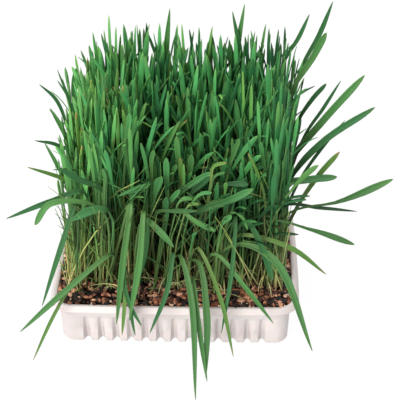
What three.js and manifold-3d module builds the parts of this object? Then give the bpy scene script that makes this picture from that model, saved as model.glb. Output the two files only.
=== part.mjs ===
// A tray of young wheatgrass: a thin moulded tray with fluted walls, the growing
// medium that fills it, and forty tufts of grass rooted in the medium.
// Millimetres, +Z up, origin at the centre of the tray's flat foot.

import * as THREE from 'three';
import { mergeVertices } from 'three/addons/utils/BufferGeometryUtils.js';
import Module from 'manifold-3d';

const wasm = await Module();
wasm.setup();

// ---- tray --------------------------------------------------------------------
const RIM_LENGTH = 188.6;        // along X, corner to corner
const RIM_DEPTH = 143.4;         // along Y
const SIDE_BOW = 1.4;            // how far each side bulges at its middle
const TRAY_HEIGHT = 39.2;
const RIM_CORNER = 17;           // outer corner radius of the rim
const LEAST_CORNER = 5;
const RIM_SLOPE = 2.4;           // how far the skirt leans out below the flat flange
const FLANGE_INNER = 5.2;        // inset of the flange's inner edge
const SKIRT_BOTTOM = 34.8;
const LIP = 1.3;                 // thickness of the skirt at its lower edge
const WALL_TOP_INSET = 6.5;
const WALL_TOP = 37.6;           // where the wall's slope would reach the rim
const RIM_JOIN = { inset: 3.8, z: 37.6 };    // the wall flares out to meet the rim here
const WALL_FOOT_INSET = 7.8;
const FOOT_INSET = 10;           // inset of the flat foot, inside its sloping edge
const FOOT_EDGE = 3;             // height of the foot's sloping edge
const WALL = 1.4;
const FLOOR = 1.8;
const WELL_INSET = 19;           // inside every flute, so the floor fans out cleanly
const CORNER_STEPS = 6;
const TRAY_TOLERANCE = 0.03;      // stations closer to a straight edge than this are dropped

const FLUTE_PITCH = 11.15;
const LONG_SIDE_FLUTES = 13;
const SHORT_SIDE_FLUTES = 9;
const FLUTE_TOP = 25.8;
const FLUTE_SHOULDER = 22.6;
const FLUTE_AT_FOOT = 0.8;       // share of a flute's depth left at the foot's edge
const INNER_SPREAD = 1.1;        // how much wider a flute is on the wall's inner face
const FLUTE_DEPTH = { foot: 6, shoulder: 2.2 };
const FLUTE_HALF = { foot: 3.1, shoulder: 2.5 };
const FLUTE_BED_HALF = { foot: 1.4, shoulder: 1.0 };

// ---- growing medium ----------------------------------------------------------
const GROUND = 38;
const MEDIUM_GAP = 0.4;          // clearance between the medium and the tray
const MEDIUM_CORNER_ROOM = 4.75; // the medium's sides stop this far short of its corners
const MEDIUM_STATIONS = 7;       // points along each side of its outline
const MEDIUM_RINGS = [11, 18, 28, 44];       // insets where its top rises and falls
const RIM_GAP = 0.6;             // clearance between the medium and the rim's inner edge
const CRUMB_HEIGHT = 1.1;        // greatest rise or fall of its crumbly top
const CRUMBS = { long: 3.1, cross: 2.7, slant: 4.3, shift: 0.7, share: 0.6 };

// ---- grass -------------------------------------------------------------------
const TUFT_COLUMNS = 8;
const TUFT_ROWS = 5;
const TUFT_PITCH_X = 20.8;
const TUFT_PITCH_Y = 23;
const STAND_BACK = 6;            // the stand sits this far behind the tray's middle
const TUFT_JITTER = 0.9;
const ROOT_BLOCK = { x: 14.4, y: 18, z: 9 };
const ROOT_MARGIN = 2.2;         // blades leave the root block inside this margin
const ROOT_GAP = 0.35;
const ROOT_DIP = 0.6;            // how far a root block's top lies below the medium's
const BLADES_ACROSS = { x: 3, y: 4 };        // a tuft's own blades, in jittered places
const BLADE_CLEARANCE = 0.22;
const ROOT_LOOSENESS = 0.7;
const FAN = 0.3;                 // how much a tuft's blades spread from each other
const SINK = 5;                  // how deep a blade starts below the root block's top
const TALL = 157;                // height of the stand above the medium
const UPRIGHT = [0.76, 1.08];    // least and greatest height of an upright blade, as shares of it
const BEND_OUT = { across: 0.12, up: 0.55 };       // where an upright blade bends
const BEND_NUDGE = 0.3;          // share of a nudge that a blade's bend follows
const TURN = 2.4;                // how far blades turn from facing the front, in radians
const WIDTH_RANGE = [0.75, 1.2]; // least and greatest width, as shares of the leaf width
const FALLEN = {
  turn: -0.3,                    // usual direction, in radians from +X
  reach: [26, 60],               // least and greatest reach from the root
  bend: [74, 118],               // height of the bend above the medium
  rise: [0.95, 1.2],             // the tip's height, as a share of the bend's
  over: 0.35,                    // how far out it bends, as a share of its reach
  up: 0.86,                      // how high its curve is pulled, as a share of the bend's height
};
const TIP_SPREAD = 24;           // how far the tips stray from the stand's lean
const LEAF_WIDTH = 3.5;
const STEM_WIDTH = 1.4;
const STEM_THICKNESS = 1.2;
const STAND_LEAF = [0.5, 0.78];  // where along a blade its stem widens to a leaf
const STAND_BENDS = [0.2, 0.45]; // where a stand blade's stem, and its leaf's end, bend
const LEAF_LIFT = { y: [-16, -42], share: 0.12 };  // how much further in front and at the ends
const LONG_LEAF = [0.25, 0.84];
const STRAP = [0.42, 0.66];      // some long blades widen sooner or later than most
const SPOON = [0.66, 0.9];
const LEAF_THICKNESS = 0.8;
const TUFT_TOLERANCE = 0.0005;   // splinters thinner than this are dropped where blades meet
const LEAF_RUN_LIMIT = 0.88;     // a leaf that runs more than this along its width is turned
const COLLAR = 4;                // a long blade leaves the medium upright, up to this height

// How the stand varies: heights are shares of its own, leans are in millimetres.
const STAND_END = 86;            // half its length
const FRONT = { y: [0, -60], drop: 0.12, lean: -5 };
const BACK = { y: [20, 60], rise: 0.05, lean: 6 };
const LEFT_END = { x: [-55, -86], drop: 0.2, lean: 7 };
const RIGHT_END_LEAN = 2;
const END_CALM = 0.5;            // how much less the tips stray at the ends
const LOW_PLACE = { y: [18, -14], x: 16, reach: [32, 50], drop: 0.28, fallen: 0.3 };
const OPEN_PLACE = { y: [-24, -40], x: -6, reach: [20, 34], missing: 0.5 };

const COLOURS = {
  tray: 0xf1eae6,
  medium: 0x4a2f22,
  grass: 0x2f8a3c,
};

// ---- shared helpers ----------------------------------------------------------

function lerp(a, b, t) {
  return a + (b - a) * t;
}

function smooth(low, high, value) {
  const t = Math.min(Math.max((value - low) / (high - low), 0), 1);
  return t * t * (3 - 2 * t);
}

// Seeded stream of numbers from 0 to 1.
function seededDraw(seed) {
  let state = seed | 0;
  return () => {
    state = (state + 0x6d2b79f5) | 0;
    let t = Math.imul(state ^ (state >>> 15), 1 | state);
    t = (t + Math.imul(t ^ (t >>> 7), 61 | t)) ^ t;
    return ((t ^ (t >>> 14)) >>> 0) / 4294967296;
  };
}

// A closed geometry as a solid for joining and cutting.
function toSolid(geometry) {
  geometry.deleteAttribute('normal');
  geometry.deleteAttribute('uv');
  const welded = mergeVertices(geometry, 1e-5);
  const index = welded.index.array;
  const triangles = [];
  for (let i = 0; i < index.length; i += 3) {
    const [a, b, c] = [index[i], index[i + 1], index[i + 2]];
    if (a !== b && b !== c && c !== a) {
      triangles.push(a, b, c);
    }
  }
  return new wasm.Manifold(new wasm.Mesh({
    numProp: 3,
    vertProperties: new Float32Array(welded.attributes.position.array),
    triVerts: new Uint32Array(triangles),
  }));
}

function toMesh(name, solid, material) {
  const result = solid.getMesh();
  const geometry = new THREE.BufferGeometry();
  geometry.setAttribute('position', new THREE.BufferAttribute(result.vertProperties, 3));
  geometry.setIndex(new THREE.BufferAttribute(result.triVerts, 1));
  geometry.computeVertexNormals();
  const mesh = new THREE.Mesh(geometry, material);
  mesh.name = name;
  return mesh;
}

// ---- the rounded outline that tray and medium share ---------------------------

function bowed(x, y) {
  const acrossX = 1 - (x / (RIM_LENGTH / 2)) ** 2;
  const acrossY = 1 - (y / (RIM_DEPTH / 2)) ** 2;
  return [
    x * (1 + (SIDE_BOW / (RIM_LENGTH / 2)) * acrossY),
    y * (1 + (SIDE_BOW / (RIM_DEPTH / 2)) * acrossX),
  ];
}

// Sides in anticlockwise order: outward normal, direction of travel, half sizes.
const SIDES = [
  { out: [1, 0], along: [0, 1], half: RIM_LENGTH / 2, other: RIM_DEPTH / 2, flutes: SHORT_SIDE_FLUTES },
  { out: [0, 1], along: [-1, 0], half: RIM_DEPTH / 2, other: RIM_LENGTH / 2, flutes: LONG_SIDE_FLUTES },
  { out: [-1, 0], along: [0, -1], half: RIM_LENGTH / 2, other: RIM_DEPTH / 2, flutes: SHORT_SIDE_FLUTES },
  { out: [0, -1], along: [1, 0], half: RIM_DEPTH / 2, other: RIM_LENGTH / 2, flutes: LONG_SIDE_FLUTES },
];

function sidePoint(side, inset, along, depth) {
  const reach = side.half - inset - depth;
  return bowed(
    side.out[0] * reach + side.along[0] * along,
    side.out[1] * reach + side.along[1] * along,
  );
}

function cornerPoint(side, inset, turn) {
  const radius = Math.max(RIM_CORNER - inset, LEAST_CORNER);
  const angle = turn * (Math.PI / 2);
  const reach = side.half - inset - radius * (1 - Math.cos(angle));
  const along = side.other - inset - radius * (1 - Math.sin(angle));
  return bowed(
    side.out[0] * reach + side.along[0] * along,
    side.out[1] * reach + side.along[1] * along,
  );
}

// Turns a lathe's columns into stations round the outline, ring by ring.
// Each ring is { inset, z } or, at the axis, { axis: true, z }.
function ringBody(rings, stations) {
  const profile = rings.map((ring, row) => new THREE.Vector2(ring.axis ? 0 : 1, row));
  const geometry = new THREE.LatheGeometry(profile, stations.length);
  const position = geometry.attributes.position;
  for (let column = 0; column <= stations.length; column += 1) {
    const place = stations[column % stations.length];
    rings.forEach((ring, row) => {
      const [x, y] = ring.axis ? [0, 0] : place(ring);
      const z = ring.lift ? ring.lift(x, y) : ring.z;
      position.setXYZ(column * rings.length + row, x, y, z);
    });
  }
  return toSolid(geometry);
}

// ---- tray ---------------------------------------------------------------------

// A flute's section at a height: its two edges lie on the wall, its bed is set in.
function fluteAt(z) {
  const t = Math.min(z / FLUTE_SHOULDER, 1);
  const fade = 1 - smooth(FLUTE_SHOULDER, FLUTE_TOP, z);
  return {
    depth: lerp(FLUTE_DEPTH.foot, FLUTE_DEPTH.shoulder, t) * fade,
    half: lerp(FLUTE_HALF.foot, FLUTE_HALF.shoulder, t),
    bed: lerp(FLUTE_BED_HALF.foot, FLUTE_BED_HALF.shoulder, t),
  };
}

function trayStations() {
  const stations = [];
  for (const side of SIDES) {
    for (let k = 0; k < side.flutes; k += 1) {
      const centre = (k - (side.flutes - 1) / 2) * FLUTE_PITCH;
      for (const edge of [-2, -1, 1, 2]) {
        const isBed = Math.abs(edge) === 1;
        stations.push((ring) => {
          const flute = fluteAt(ring.z);
          const half = (isBed ? flute.bed : flute.half) + (ring.spread ?? 0);
          const offset = Math.sign(edge) * half;
          const depth = isBed && ring.fluted ? flute.depth * ring.fluted : 0;
          return sidePoint(side, ring.inset, centre + offset, depth);
        });
      }
    }
    for (let step = 0; step < CORNER_STEPS; step += 1) {
      const turn = step / (CORNER_STEPS - 1);
      stations.push((ring) => cornerPoint(side, ring.inset, turn));
    }
  }
  return stations;
}

function wallInset(z) {
  return lerp(WALL_FOOT_INSET, WALL_TOP_INSET, Math.min(z / WALL_TOP, 1));
}

function buildTray() {
  const rings = [
    { axis: true, z: 0 },
    { inset: WELL_INSET, z: 0 },
    { inset: FOOT_INSET, z: 0, fluted: FLUTE_AT_FOOT },
    { inset: wallInset(FOOT_EDGE), z: FOOT_EDGE, fluted: 1 },
    { inset: wallInset(FLUTE_SHOULDER), z: FLUTE_SHOULDER, fluted: 1 },
    { inset: wallInset(FLUTE_TOP), z: FLUTE_TOP },
    RIM_JOIN,
    { inset: LIP, z: SKIRT_BOTTOM },
    { inset: 0, z: SKIRT_BOTTOM },
    { inset: RIM_SLOPE, z: TRAY_HEIGHT },
    { inset: FLANGE_INNER, z: TRAY_HEIGHT },
    { inset: wallInset(FLUTE_TOP) + WALL, z: FLUTE_TOP + WALL, spread: INNER_SPREAD },
    { inset: wallInset(FLUTE_SHOULDER) + WALL, z: FLUTE_SHOULDER, fluted: 1, spread: INNER_SPREAD },
    { inset: FOOT_INSET + WALL / 2, z: FLOOR, fluted: 1, spread: INNER_SPREAD },
    { inset: WELL_INSET, z: FLOOR },
    { axis: true, z: FLOOR },
  ];
  return ringBody(rings, trayStations()).simplify(TRAY_TOLERANCE);
}

// ---- growing medium -------------------------------------------------------------

function groundHeight(x, y) {
  const lumps = Math.sin(x / CRUMBS.long + CRUMBS.shift) * Math.cos(y / CRUMBS.cross);
  const ridges = Math.sin((x + 2 * y) / CRUMBS.slant);
  return GROUND + CRUMB_HEIGHT * CRUMBS.share * (lumps + CRUMBS.share * ridges);
}

function mediumStations() {
  const stations = [];
  for (const side of SIDES) {
    const half = side.other - RIM_CORNER - MEDIUM_CORNER_ROOM;
    for (let k = 0; k < MEDIUM_STATIONS; k += 1) {
      const share = k / (MEDIUM_STATIONS - 1) - 0.5;
      stations.push((ring) => {
        const shrink = (side.other - ring.inset) / side.other;
        return sidePoint(side, ring.inset, 2 * share * half * shrink, 0);
      });
    }
    stations.push((ring) => cornerPoint(side, ring.inset, 0.5));
  }
  return stations;
}

function buildMedium() {
  const slope = (FLANGE_INNER - wallInset(FLUTE_TOP) - WALL) / (TRAY_HEIGHT - FLUTE_TOP - WALL);
  const edgeInset = FLANGE_INNER + slope * (GROUND - TRAY_HEIGHT) + RIM_GAP;
  const rings = [
    { axis: true, z: FLOOR + MEDIUM_GAP },
    { inset: FOOT_INSET + WALL + FLUTE_DEPTH.foot + MEDIUM_GAP, z: FLOOR + MEDIUM_GAP },
    {
      inset: wallInset(FLUTE_SHOULDER) + WALL + FLUTE_DEPTH.shoulder + MEDIUM_GAP,
      z: FLUTE_SHOULDER,
    },
    { inset: wallInset(FLUTE_TOP) + WALL + 2 * MEDIUM_GAP, z: FLUTE_TOP + WALL },
    { inset: edgeInset, z: GROUND },
  ];
  for (const inset of MEDIUM_RINGS) {
    rings.push({ inset, lift: groundHeight });
  }
  rings.push({ axis: true, lift: groundHeight });
  return ringBody(rings, mediumStations());
}

// ---- grass ------------------------------------------------------------------------

// Width of a blade along its length, as a share of its greatest width: a narrow
// stem that widens to an even leaf.
function widthAt(t, stemShare, leaf) {
  return lerp(stemShare, 1, smooth(leaf[0], leaf[1], t));
}

// A three-sided blade along a curve. `across` is the direction of its width.
function bladeSolid(curve, across, width, stops, leaf) {
  const geometry = new THREE.ConeGeometry(1, 1, 3, stops.length - 1);
  const position = geometry.attributes.position;
  const corner = new THREE.Vector3();
  for (let i = 0; i < position.count; i += 1) {
    corner.fromBufferAttribute(position, i);
    const row = Math.round((corner.y + 0.5) * (stops.length - 1));
    const t = stops[row];
    const centre = curve.getPoint(t);
    const tangent = curve.getTangent(t);
    const side = across.clone().addScaledVector(tangent, -across.dot(tangent)).normalize();
    const face = side.clone().cross(tangent);
    const spoke = Math.hypot(corner.x, corner.z);
    const sine = spoke > 1e-6 ? corner.x / spoke : 0;
    const cosine = spoke > 1e-6 ? corner.z / spoke : 0;
    const halfWidth = (width * widthAt(t, STEM_WIDTH / width, leaf)) / Math.sqrt(3);
    const thickness = lerp(STEM_THICKNESS, LEAF_THICKNESS, smooth(leaf[0], leaf[1], t)) / 1.5;
    centre.addScaledVector(side, halfWidth * sine);
    centre.addScaledVector(face, thickness * cosine);
    position.setXYZ(i, centre.x, centre.y, centre.z);
  }
  return toSolid(geometry);
}

// A long or fallen blade turns its broad side to the front and up.
const BROAD_SIDE = new THREE.Vector3(0, -0.83, 0.56);

function broadAcross({ x, y, z }) {
  return new THREE.Vector3(x, y, z).cross(BROAD_SIDE).normalize();
}

// Where a blade's sections lie along it. Each ends in a blunt point.
const LONG_STOPS = [0, 0.3, 0.5, 0.7, 0.91, 1];

function standStops([narrow, wide]) {
  return [0, lerp(narrow, wide, STAND_BENDS[0]), lerp(wide, 1, STAND_BENDS[1]), 1];
}

function tuftCentres() {
  const draw = seededDraw(4);
  const centres = [];
  for (let row = 0; row < TUFT_ROWS; row += 1) {
    for (let column = 0; column < TUFT_COLUMNS; column += 1) {
      centres.push({
        x: (column - (TUFT_COLUMNS - 1) / 2) * TUFT_PITCH_X + (draw() - 0.5) * 2 * TUFT_JITTER,
        y: STAND_BACK + (row - (TUFT_ROWS - 1) / 2) * TUFT_PITCH_Y + (draw() - 0.5) * 2 * TUFT_JITTER,
      });
    }
  }
  return centres;
}

// How much a place belongs to a patch of the stand: 1 inside it, 0 well outside.
function within(patch, x, y) {
  return smooth(...patch.y, y) * (1 - smooth(...patch.reach, Math.abs(x - patch.x)));
}

// The stand stands nearly upright, lower at its left end and its front, and lowest
// in the middle and right of the front, where a few of its blades have fallen over.
// Blades are missing in the middle of its front, and stray less at its ends.
function standAt(x, y) {
  const front = smooth(...FRONT.y, y);
  const back = smooth(...BACK.y, y);
  const low = within(LOW_PLACE, x, y);
  const open = within(OPEN_PLACE, x, y);
  const end = Math.min(Math.abs(x / STAND_END), 1) ** 3;
  const lift = LEAF_LIFT.share * Math.max(smooth(...LEAF_LIFT.y, y), end);
  const leftDrop = 1 - LEFT_END.drop * smooth(...LEFT_END.x, x);
  const height = TALL * (1 + BACK.rise * back) * (1 - FRONT.drop * front) * leftDrop;
  return {
    fallen: LOW_PLACE.fallen * low,
    missing: OPEN_PLACE.missing * open,
    loose: 1 - END_CALM * end,
    x: (x > 0 ? RIGHT_END_LEAN : LEFT_END.lean) * end,
    y: BACK.lean * back + FRONT.lean * front,
    leaf: STAND_LEAF.map((stop) => stop + lift),
    height: height * (1 - LOW_PLACE.drop * low),
  };
}

// Where a tuft's blades leave its root block: a jittered square of places.
function rootPlaces(centre, draw) {
  const places = [];
  const place = (slot, across, size) => {
    const cell = (size - 2 * ROOT_MARGIN) / across;
    return (slot - (across - 1) / 2 + (draw() - 0.5) * ROOT_LOOSENESS) * cell;
  };
  for (let k = 0; k < BLADES_ACROSS.x * BLADES_ACROSS.y; k += 1) {
    const dx = place(k % BLADES_ACROSS.x, BLADES_ACROSS.x, ROOT_BLOCK.x);
    const dy = place(Math.floor(k / BLADES_ACROSS.x), BLADES_ACROSS.y, ROOT_BLOCK.y);
    places.push({ x: centre.x + dx, y: centre.y + dy, dx, dy });
  }
  return places;
}

// The rule for one blade of the stand: where it bends, where it ends, how it turns.
// An upright blade bends a little outwards, and a fallen one bends over.
function standBlade(root, draw) {
  const stand = standAt(root.x, root.y);
  const stray = { x: (draw() - 0.5) * TIP_SPREAD, y: (draw() - 0.5) * TIP_SPREAD };
  const share = draw();
  const turn = (draw() - 0.5) * TURN;
  const width = LEAF_WIDTH * lerp(...WIDTH_RANGE, draw());
  const fate = draw();
  const bendShare = draw();
  if (fate > 1 - stand.missing) {
    return null;
  }
  if (fate < stand.fallen) {
    const way = turn + FALLEN.turn;
    const reach = lerp(...FALLEN.reach, share);
    const rise = lerp(...FALLEN.bend, bendShare);
    const end = { x: Math.cos(way) * reach, y: Math.sin(way) * reach, z: rise * lerp(...FALLEN.rise, share) };
    const bend = { x: end.x * FALLEN.over, y: end.y * FALLEN.over, z: rise * FALLEN.up };
    return { root, bend, end, across: broadAcross(end), width, leaf: stand.leaf };
  }
  const end = {
    x: root.dx * FAN + stand.x + stray.x * stand.loose,
    y: root.dy * FAN + stand.y + stray.y,
    z: stand.height * lerp(...UPRIGHT, share),
  };
  const bend = { x: end.x * BEND_OUT.across, y: end.y * BEND_OUT.across, z: end.z * BEND_OUT.up };
  const across = new THREE.Vector3(Math.cos(turn), Math.sin(turn), 0);
  return { root, bend, end, across, width, leaf: stand.leaf };
}

function standCurve({ root, bend, end }, nudge) {
  return new THREE.QuadraticBezierCurve3(
    new THREE.Vector3(root.x, root.y, GROUND - SINK),
    new THREE.Vector3(
      root.x + bend.x + nudge.x * BEND_NUDGE,
      root.y + bend.y + nudge.y * BEND_NUDGE,
      GROUND + bend.z,
    ),
    new THREE.Vector3(root.x + end.x + nudge.x, root.y + end.y + nudge.y, GROUND + end.z),
  );
}

// Long blades that stand out of the stand, each with its root, two places that it
// passes and its tip. `wide` is its greatest width, `leaf` where it widens if not as most.
const LONG_BLADES = [
  // over the left end
  { root: [-80, 22], via: [[-84, 22, 138], [-91, 20, 166]], tip: [-102, 16, 181], wide: 2.9 },
  { root: [-78, 38], via: [[-79, 38, 100], [-82, 38, 147]], tip: [-91, 36, 183], wide: 2.7 },
  { root: [-70, 46], via: [[-74, 46, 100], [-81, 46, 156]], tip: [-78, 44, 180], wide: 4.5, leaf: STRAP },
  { root: [-83, 4], via: [[-79, 2, 128], [-85, -1, 154]], tip: [-92, -4, 172], wide: 3.7 },
  { root: [-81, -14], via: [[-75, -14, 137], [-88, -18, 150]], tip: [-102, -22, 155], wide: 3.4 },
  { root: [-80, -26], via: [[-79, -30, 117], [-85, -34, 142]], tip: [-92, -38, 163], wide: 3.0 },
  { root: [-76, -24], via: [[-67, -32, 121], [-83, -38, 134]], tip: [-105, -44, 146], wide: 3.4 },
  { root: [-44, -34], via: [[-50, -50, 130], [-67, -58, 146]], tip: [-79, -64, 159], wide: 5.8 },
  { root: [-66, -42], via: [[-64, -54, 132], [-87, -64, 130]], tip: [-117, -76, 123], wide: 3.9 },
  { root: [-52, -46], via: [[-52, -58, 120], [-86, -68, 131]], tip: [-98, -72, 115], wide: 4.6 },
  { root: [-50, -52], via: [[-46, -63, 122], [-58, -69, 126]], tip: [-72, -75, 121], wide: 6.3 },
  { root: [-74, -50], via: [[-70, -54, 122], [-80, -66, 96]], tip: [-97, -80, 47], wide: 4.3 },
  { root: [-46, -56], via: [[-45, -66, 86], [-79, -84, 64]], tip: [-111, -100, 39], wide: 4.5 },
  { root: [-78, -60], via: [[-73, -70, 64], [-88, -86, 43]], tip: [-104, -98, 10], wide: 2.6 },
  // over the front rim
  { root: [-44, -50], via: [[-30, -62, 128], [-36, -74, 85]], tip: [-42, -84, 34], wide: 5.0 },
  { root: [-30, -50], via: [[-21, -62, 121], [-24, -76, 86]], tip: [-32, -88, 41], wide: 5.1 },
  { root: [-24, -46], via: [[-18, -58, 113], [-20, -66, 90]], tip: [-26, -72, 64], wide: 4.0 },
  { root: [-32, -60], via: [[-37, -70, 82], [-33, -80, 54]], tip: [-23, -88, 36], wide: 3.2 },
  { root: [-38, -61], via: [[-35, -72, 65], [-36, -82, 46]], tip: [-38, -87, 26], wide: 2.7 },
  { root: [-20, -61], via: [[-29, -70, 60], [-31, -80, 42]], tip: [-28, -88, 27], wide: 2.6 },
  { root: [-8, -52], via: [[0, -66, 88], [-4, -80, 64]], tip: [-17, -90, 31], wide: 3.7 },
  { root: [-4, -54], via: [[5, -66, 85], [14, -88, 62]], tip: [18, -133, 6], wide: 4.8 },
  { root: [8, -58], via: [[15, -74, 69], [20, -98, 42]], tip: [26, -118, 10], wide: 3.7 },
  { root: [-2, -48], via: [[18, -66, 80], [25, -90, 52]], tip: [25, -116, 12], wide: 5.4 },
  { root: [38, -48], via: [[45, -56, 114], [43, -72, 77]], tip: [36, -90, 32], wide: 3.2 },
  { root: [8, -50], via: [[18, -60, 88], [35, -80, 57]], tip: [45, -104, 22], wide: 3.2 },
  { root: [14, -50], via: [[31, -62, 84], [53, -78, 66]], tip: [74, -88, 41], wide: 3.5 },
  { root: [20, -46], via: [[49, -60, 92], [75, -72, 85]], tip: [102, -108, 32], wide: 5.9 },
  { root: [36, -54], via: [[53, -60, 112], [64, -66, 95]], tip: [73, -72, 68], wide: 4.5 },
  // over the right end
  { root: [34, -44], via: [[46, -50, 92], [85, -62, 91]], tip: [112, -70, 73], wide: 3.8 },
  { root: [62, -40], via: [[69, -44, 101], [101, -52, 100]], tip: [132, -60, 93], wide: 4.4, leaf: SPOON },
  { root: [74, -30], via: [[81, -32, 107], [107, -38, 110]], tip: [134, -42, 110], wide: 2.6 },
  { root: [58, -34], via: [[84, -40, 106], [120, -47, 122]], tip: [156, -52, 145], wide: 5.2, leaf: SPOON },
  { root: [54, -20], via: [[65, -24, 116], [97, -28, 128]], tip: [119, -30, 132], wide: 5.2, leaf: STRAP },
  { root: [78, -16], via: [[90, -18, 92], [106, -22, 128]], tip: [120, -24, 150], wide: 3.8 },
  { root: [76, 2], via: [[92, 0, 104], [109, -4, 141]], tip: [124, -8, 167], wide: 2.6 },
  { root: [74, -8], via: [[86, -10, 116], [108, -14, 152]], tip: [143, -20, 185], wide: 4.8, leaf: STRAP },
  { root: [70, 12], via: [[86, 12, 116], [110, 8, 158]], tip: [137, 4, 198], wide: 5.2, leaf: STRAP },
  { root: [80, 16], via: [[96, 16, 136], [110, 14, 165]], tip: [121, 12, 189], wide: 2.6 },
  { root: [78, 28], via: [[91, 28, 141], [102, 28, 164]], tip: [112, 26, 179], wide: 3.4 },
  { root: [68, 36], via: [[87, 36, 166], [102, 34, 198]], tip: [110, 32, 218], wide: 4.8, leaf: STRAP },
  { root: [72, 48], via: [[93, 46, 178], [106, 42, 212]], tip: [114, 40, 239], wide: 3.7 },
  { root: [62, 54], via: [[81, 52, 183], [91, 48, 206]], tip: [98, 46, 226], wide: 3.2 },
  // above the back
  { root: [-16, 58], via: [[-12, 58, 120], [-10, 58, 181]], tip: [-6, 56, 225], wide: 4.8 },
  { root: [30, 56], via: [[38, 56, 120], [44, 56, 183]], tip: [50, 54, 230], wide: 4.6 },
  { root: [34, 60], via: [[46, 54, 125], [48, 53, 184]], tip: [41, 52, 225], wide: 4.3 },
  // across the parting
  { root: [-22, -26], via: [[4, -42, 123], [17, -46, 138]], tip: [28, -48, 146], wide: 4.5 },
  { root: [-2, -34], via: [[13, -52, 111], [38, -60, 129]], tip: [57, -64, 143], wide: 5.3 },
  { root: [26, -14], via: [[47, -24, 110], [58, -28, 136]], tip: [73, -32, 147], wide: 5.0 },
  { root: [-20, -38], via: [[-12, -54, 115], [3, -62, 122]], tip: [18, -66, 125], wide: 3.8 },
  { root: [-28, -42], via: [[-21, -56, 110], [-9, -66, 106]], tip: [1, -72, 97], wide: 5.0 },
  { root: [-30, 0], via: [[-19, -4, 137], [-5, -8, 152]], tip: [9, -10, 167], wide: 3.5 },
];

function longCurve(blade, root, nudge) {
  const foot = new THREE.Vector3(root.x, root.y, GROUND - SINK);
  const collar = new THREE.Vector3(root.x, root.y, GROUND + COLLAR);
  const passes = blade.via.map(([x, y, z]) => new THREE.Vector3(x + nudge.x, y + nudge.y, z + nudge.z));
  const tip = new THREE.Vector3(
    blade.tip[0] + nudge.x,
    blade.tip[1] + nudge.y,
    blade.tip[2] + Math.max(nudge.z, 0),
  );
  return new THREE.CatmullRomCurve3([foot, collar, ...passes, tip], false, 'centripetal');
}

// A long blade is turned by its lean. Where that would lay its width along its leaf,
// it is turned by its leaf's run instead.
function longAcross({ via, tip }, root) {
  const across = broadAcross({ x: tip[0] - root.x, y: tip[1] - root.y, z: tip[2] - GROUND });
  const run = new THREE.Vector3(...tip).sub(new THREE.Vector3(...via[1])).normalize();
  return Math.abs(across.dot(run)) > LEAF_RUN_LIMIT ? broadAcross(run) : across;
}

// Steps that a blade is bent aside by until it passes clear of the others.
const NUDGES = [{ x: 0, y: 0, z: 0 }];
for (const reach of [3, 6, 9, 13]) {
  for (let k = 0; k < 8; k += 1) {
    const angle = (k * 3 * Math.PI) / 4;
    NUDGES.push({
      x: reach * Math.cos(angle),
      y: reach * Math.sin(angle),
      z: k % 2 === 0 ? reach / 2 : -reach / 3,
    });
  }
}

function boxesMeet(a, b) {
  return [0, 1, 2].every((axis) => (
    a.min[axis] - BLADE_CLEARANCE < b.max[axis] && b.min[axis] - BLADE_CLEARANCE < a.max[axis]
  ));
}

// Keeps every placed solid, and answers whether a new one passes clear of them.
// Blades of one tuft are fused, so they may cross each other where `fused` is set.
class Clearance {
  constructor(fixed) {
    this.placed = fixed.map((solid) => ({ solid, box: solid.boundingBox(), home: -1 }));
  }

  isClear(solid, home, fused) {
    const box = solid.boundingBox();
    return this.placed.every((other) => (
      (fused && other.home === home)
      || !boxesMeet(box, other.box)
      || solid.minGap(other.solid, 1) > BLADE_CLEARANCE
    ));
  }

  add(solid, home) {
    this.placed.push({ solid, box: solid.boundingBox(), home });
  }
}

function bendClear(clearance, home, fusing, make) {
  for (const fused of fusing) {
    for (const nudge of NUDGES) {
      const solid = make(nudge);
      if (clearance.isClear(solid, home, fused)) {
        clearance.add(solid, home);
        return solid;
      }
    }
  }
  return null;
}

// A block under a tuft, `grow` larger all round, from `bottom` to `top`.
function rootBlock(centre, grow, bottom, top) {
  const geometry = new THREE.BoxGeometry(ROOT_BLOCK.x + 2 * grow, ROOT_BLOCK.y + 2 * grow, top - bottom);
  geometry.translate(centre.x, centre.y, (top + bottom) / 2);
  return toSolid(geometry);
}

// Each long blade takes the free root place nearest to its own root.
function takeRoot(places, [x, y]) {
  const free = places.filter((place) => !place.taken);
  const distance = (place) => Math.hypot(place.x - x, place.y - y);
  const nearest = free.reduce((best, place) => (distance(place) < distance(best) ? place : best));
  nearest.taken = true;
  return nearest;
}

function buildGrass(centres, fixed) {
  const clearance = new Clearance(fixed);
  const draws = centres.map((centre, home) => seededDraw(100 + home));
  const places = centres.flatMap((centre, home) => (
    rootPlaces(centre, draws[home]).map((place) => ({ ...place, home }))
  ));
  const tufts = centres.map(() => []);
  for (const blade of LONG_BLADES) {
    const root = takeRoot(places, blade.root);
    const across = longAcross(blade, root);
    const solid = bendClear(clearance, root.home, [false, true], (nudge) => (
      bladeSolid(longCurve(blade, root, nudge), across, blade.wide, LONG_STOPS, blade.leaf ?? LONG_LEAF)
    ));
    tufts[root.home].push(solid);
  }
  for (const root of places) {
    const blade = standBlade(root, draws[root.home]);
    if (root.taken || !blade) {
      continue;
    }
    const stops = standStops(blade.leaf);
    const solid = bendClear(clearance, root.home, [false], (nudge) => (
      bladeSolid(standCurve(blade, nudge), blade.across, blade.width, stops, blade.leaf)
    ));
    if (solid) {
      tufts[root.home].push(solid);
    }
  }
  return tufts;
}

// ---- assembly -----------------------------------------------------------------------

const materials = {
  tray: new THREE.MeshStandardMaterial({ color: COLOURS.tray, roughness: 0.55, metalness: 0 }),
  medium: new THREE.MeshStandardMaterial({ color: COLOURS.medium, roughness: 0.95, metalness: 0 }),
};

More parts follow.
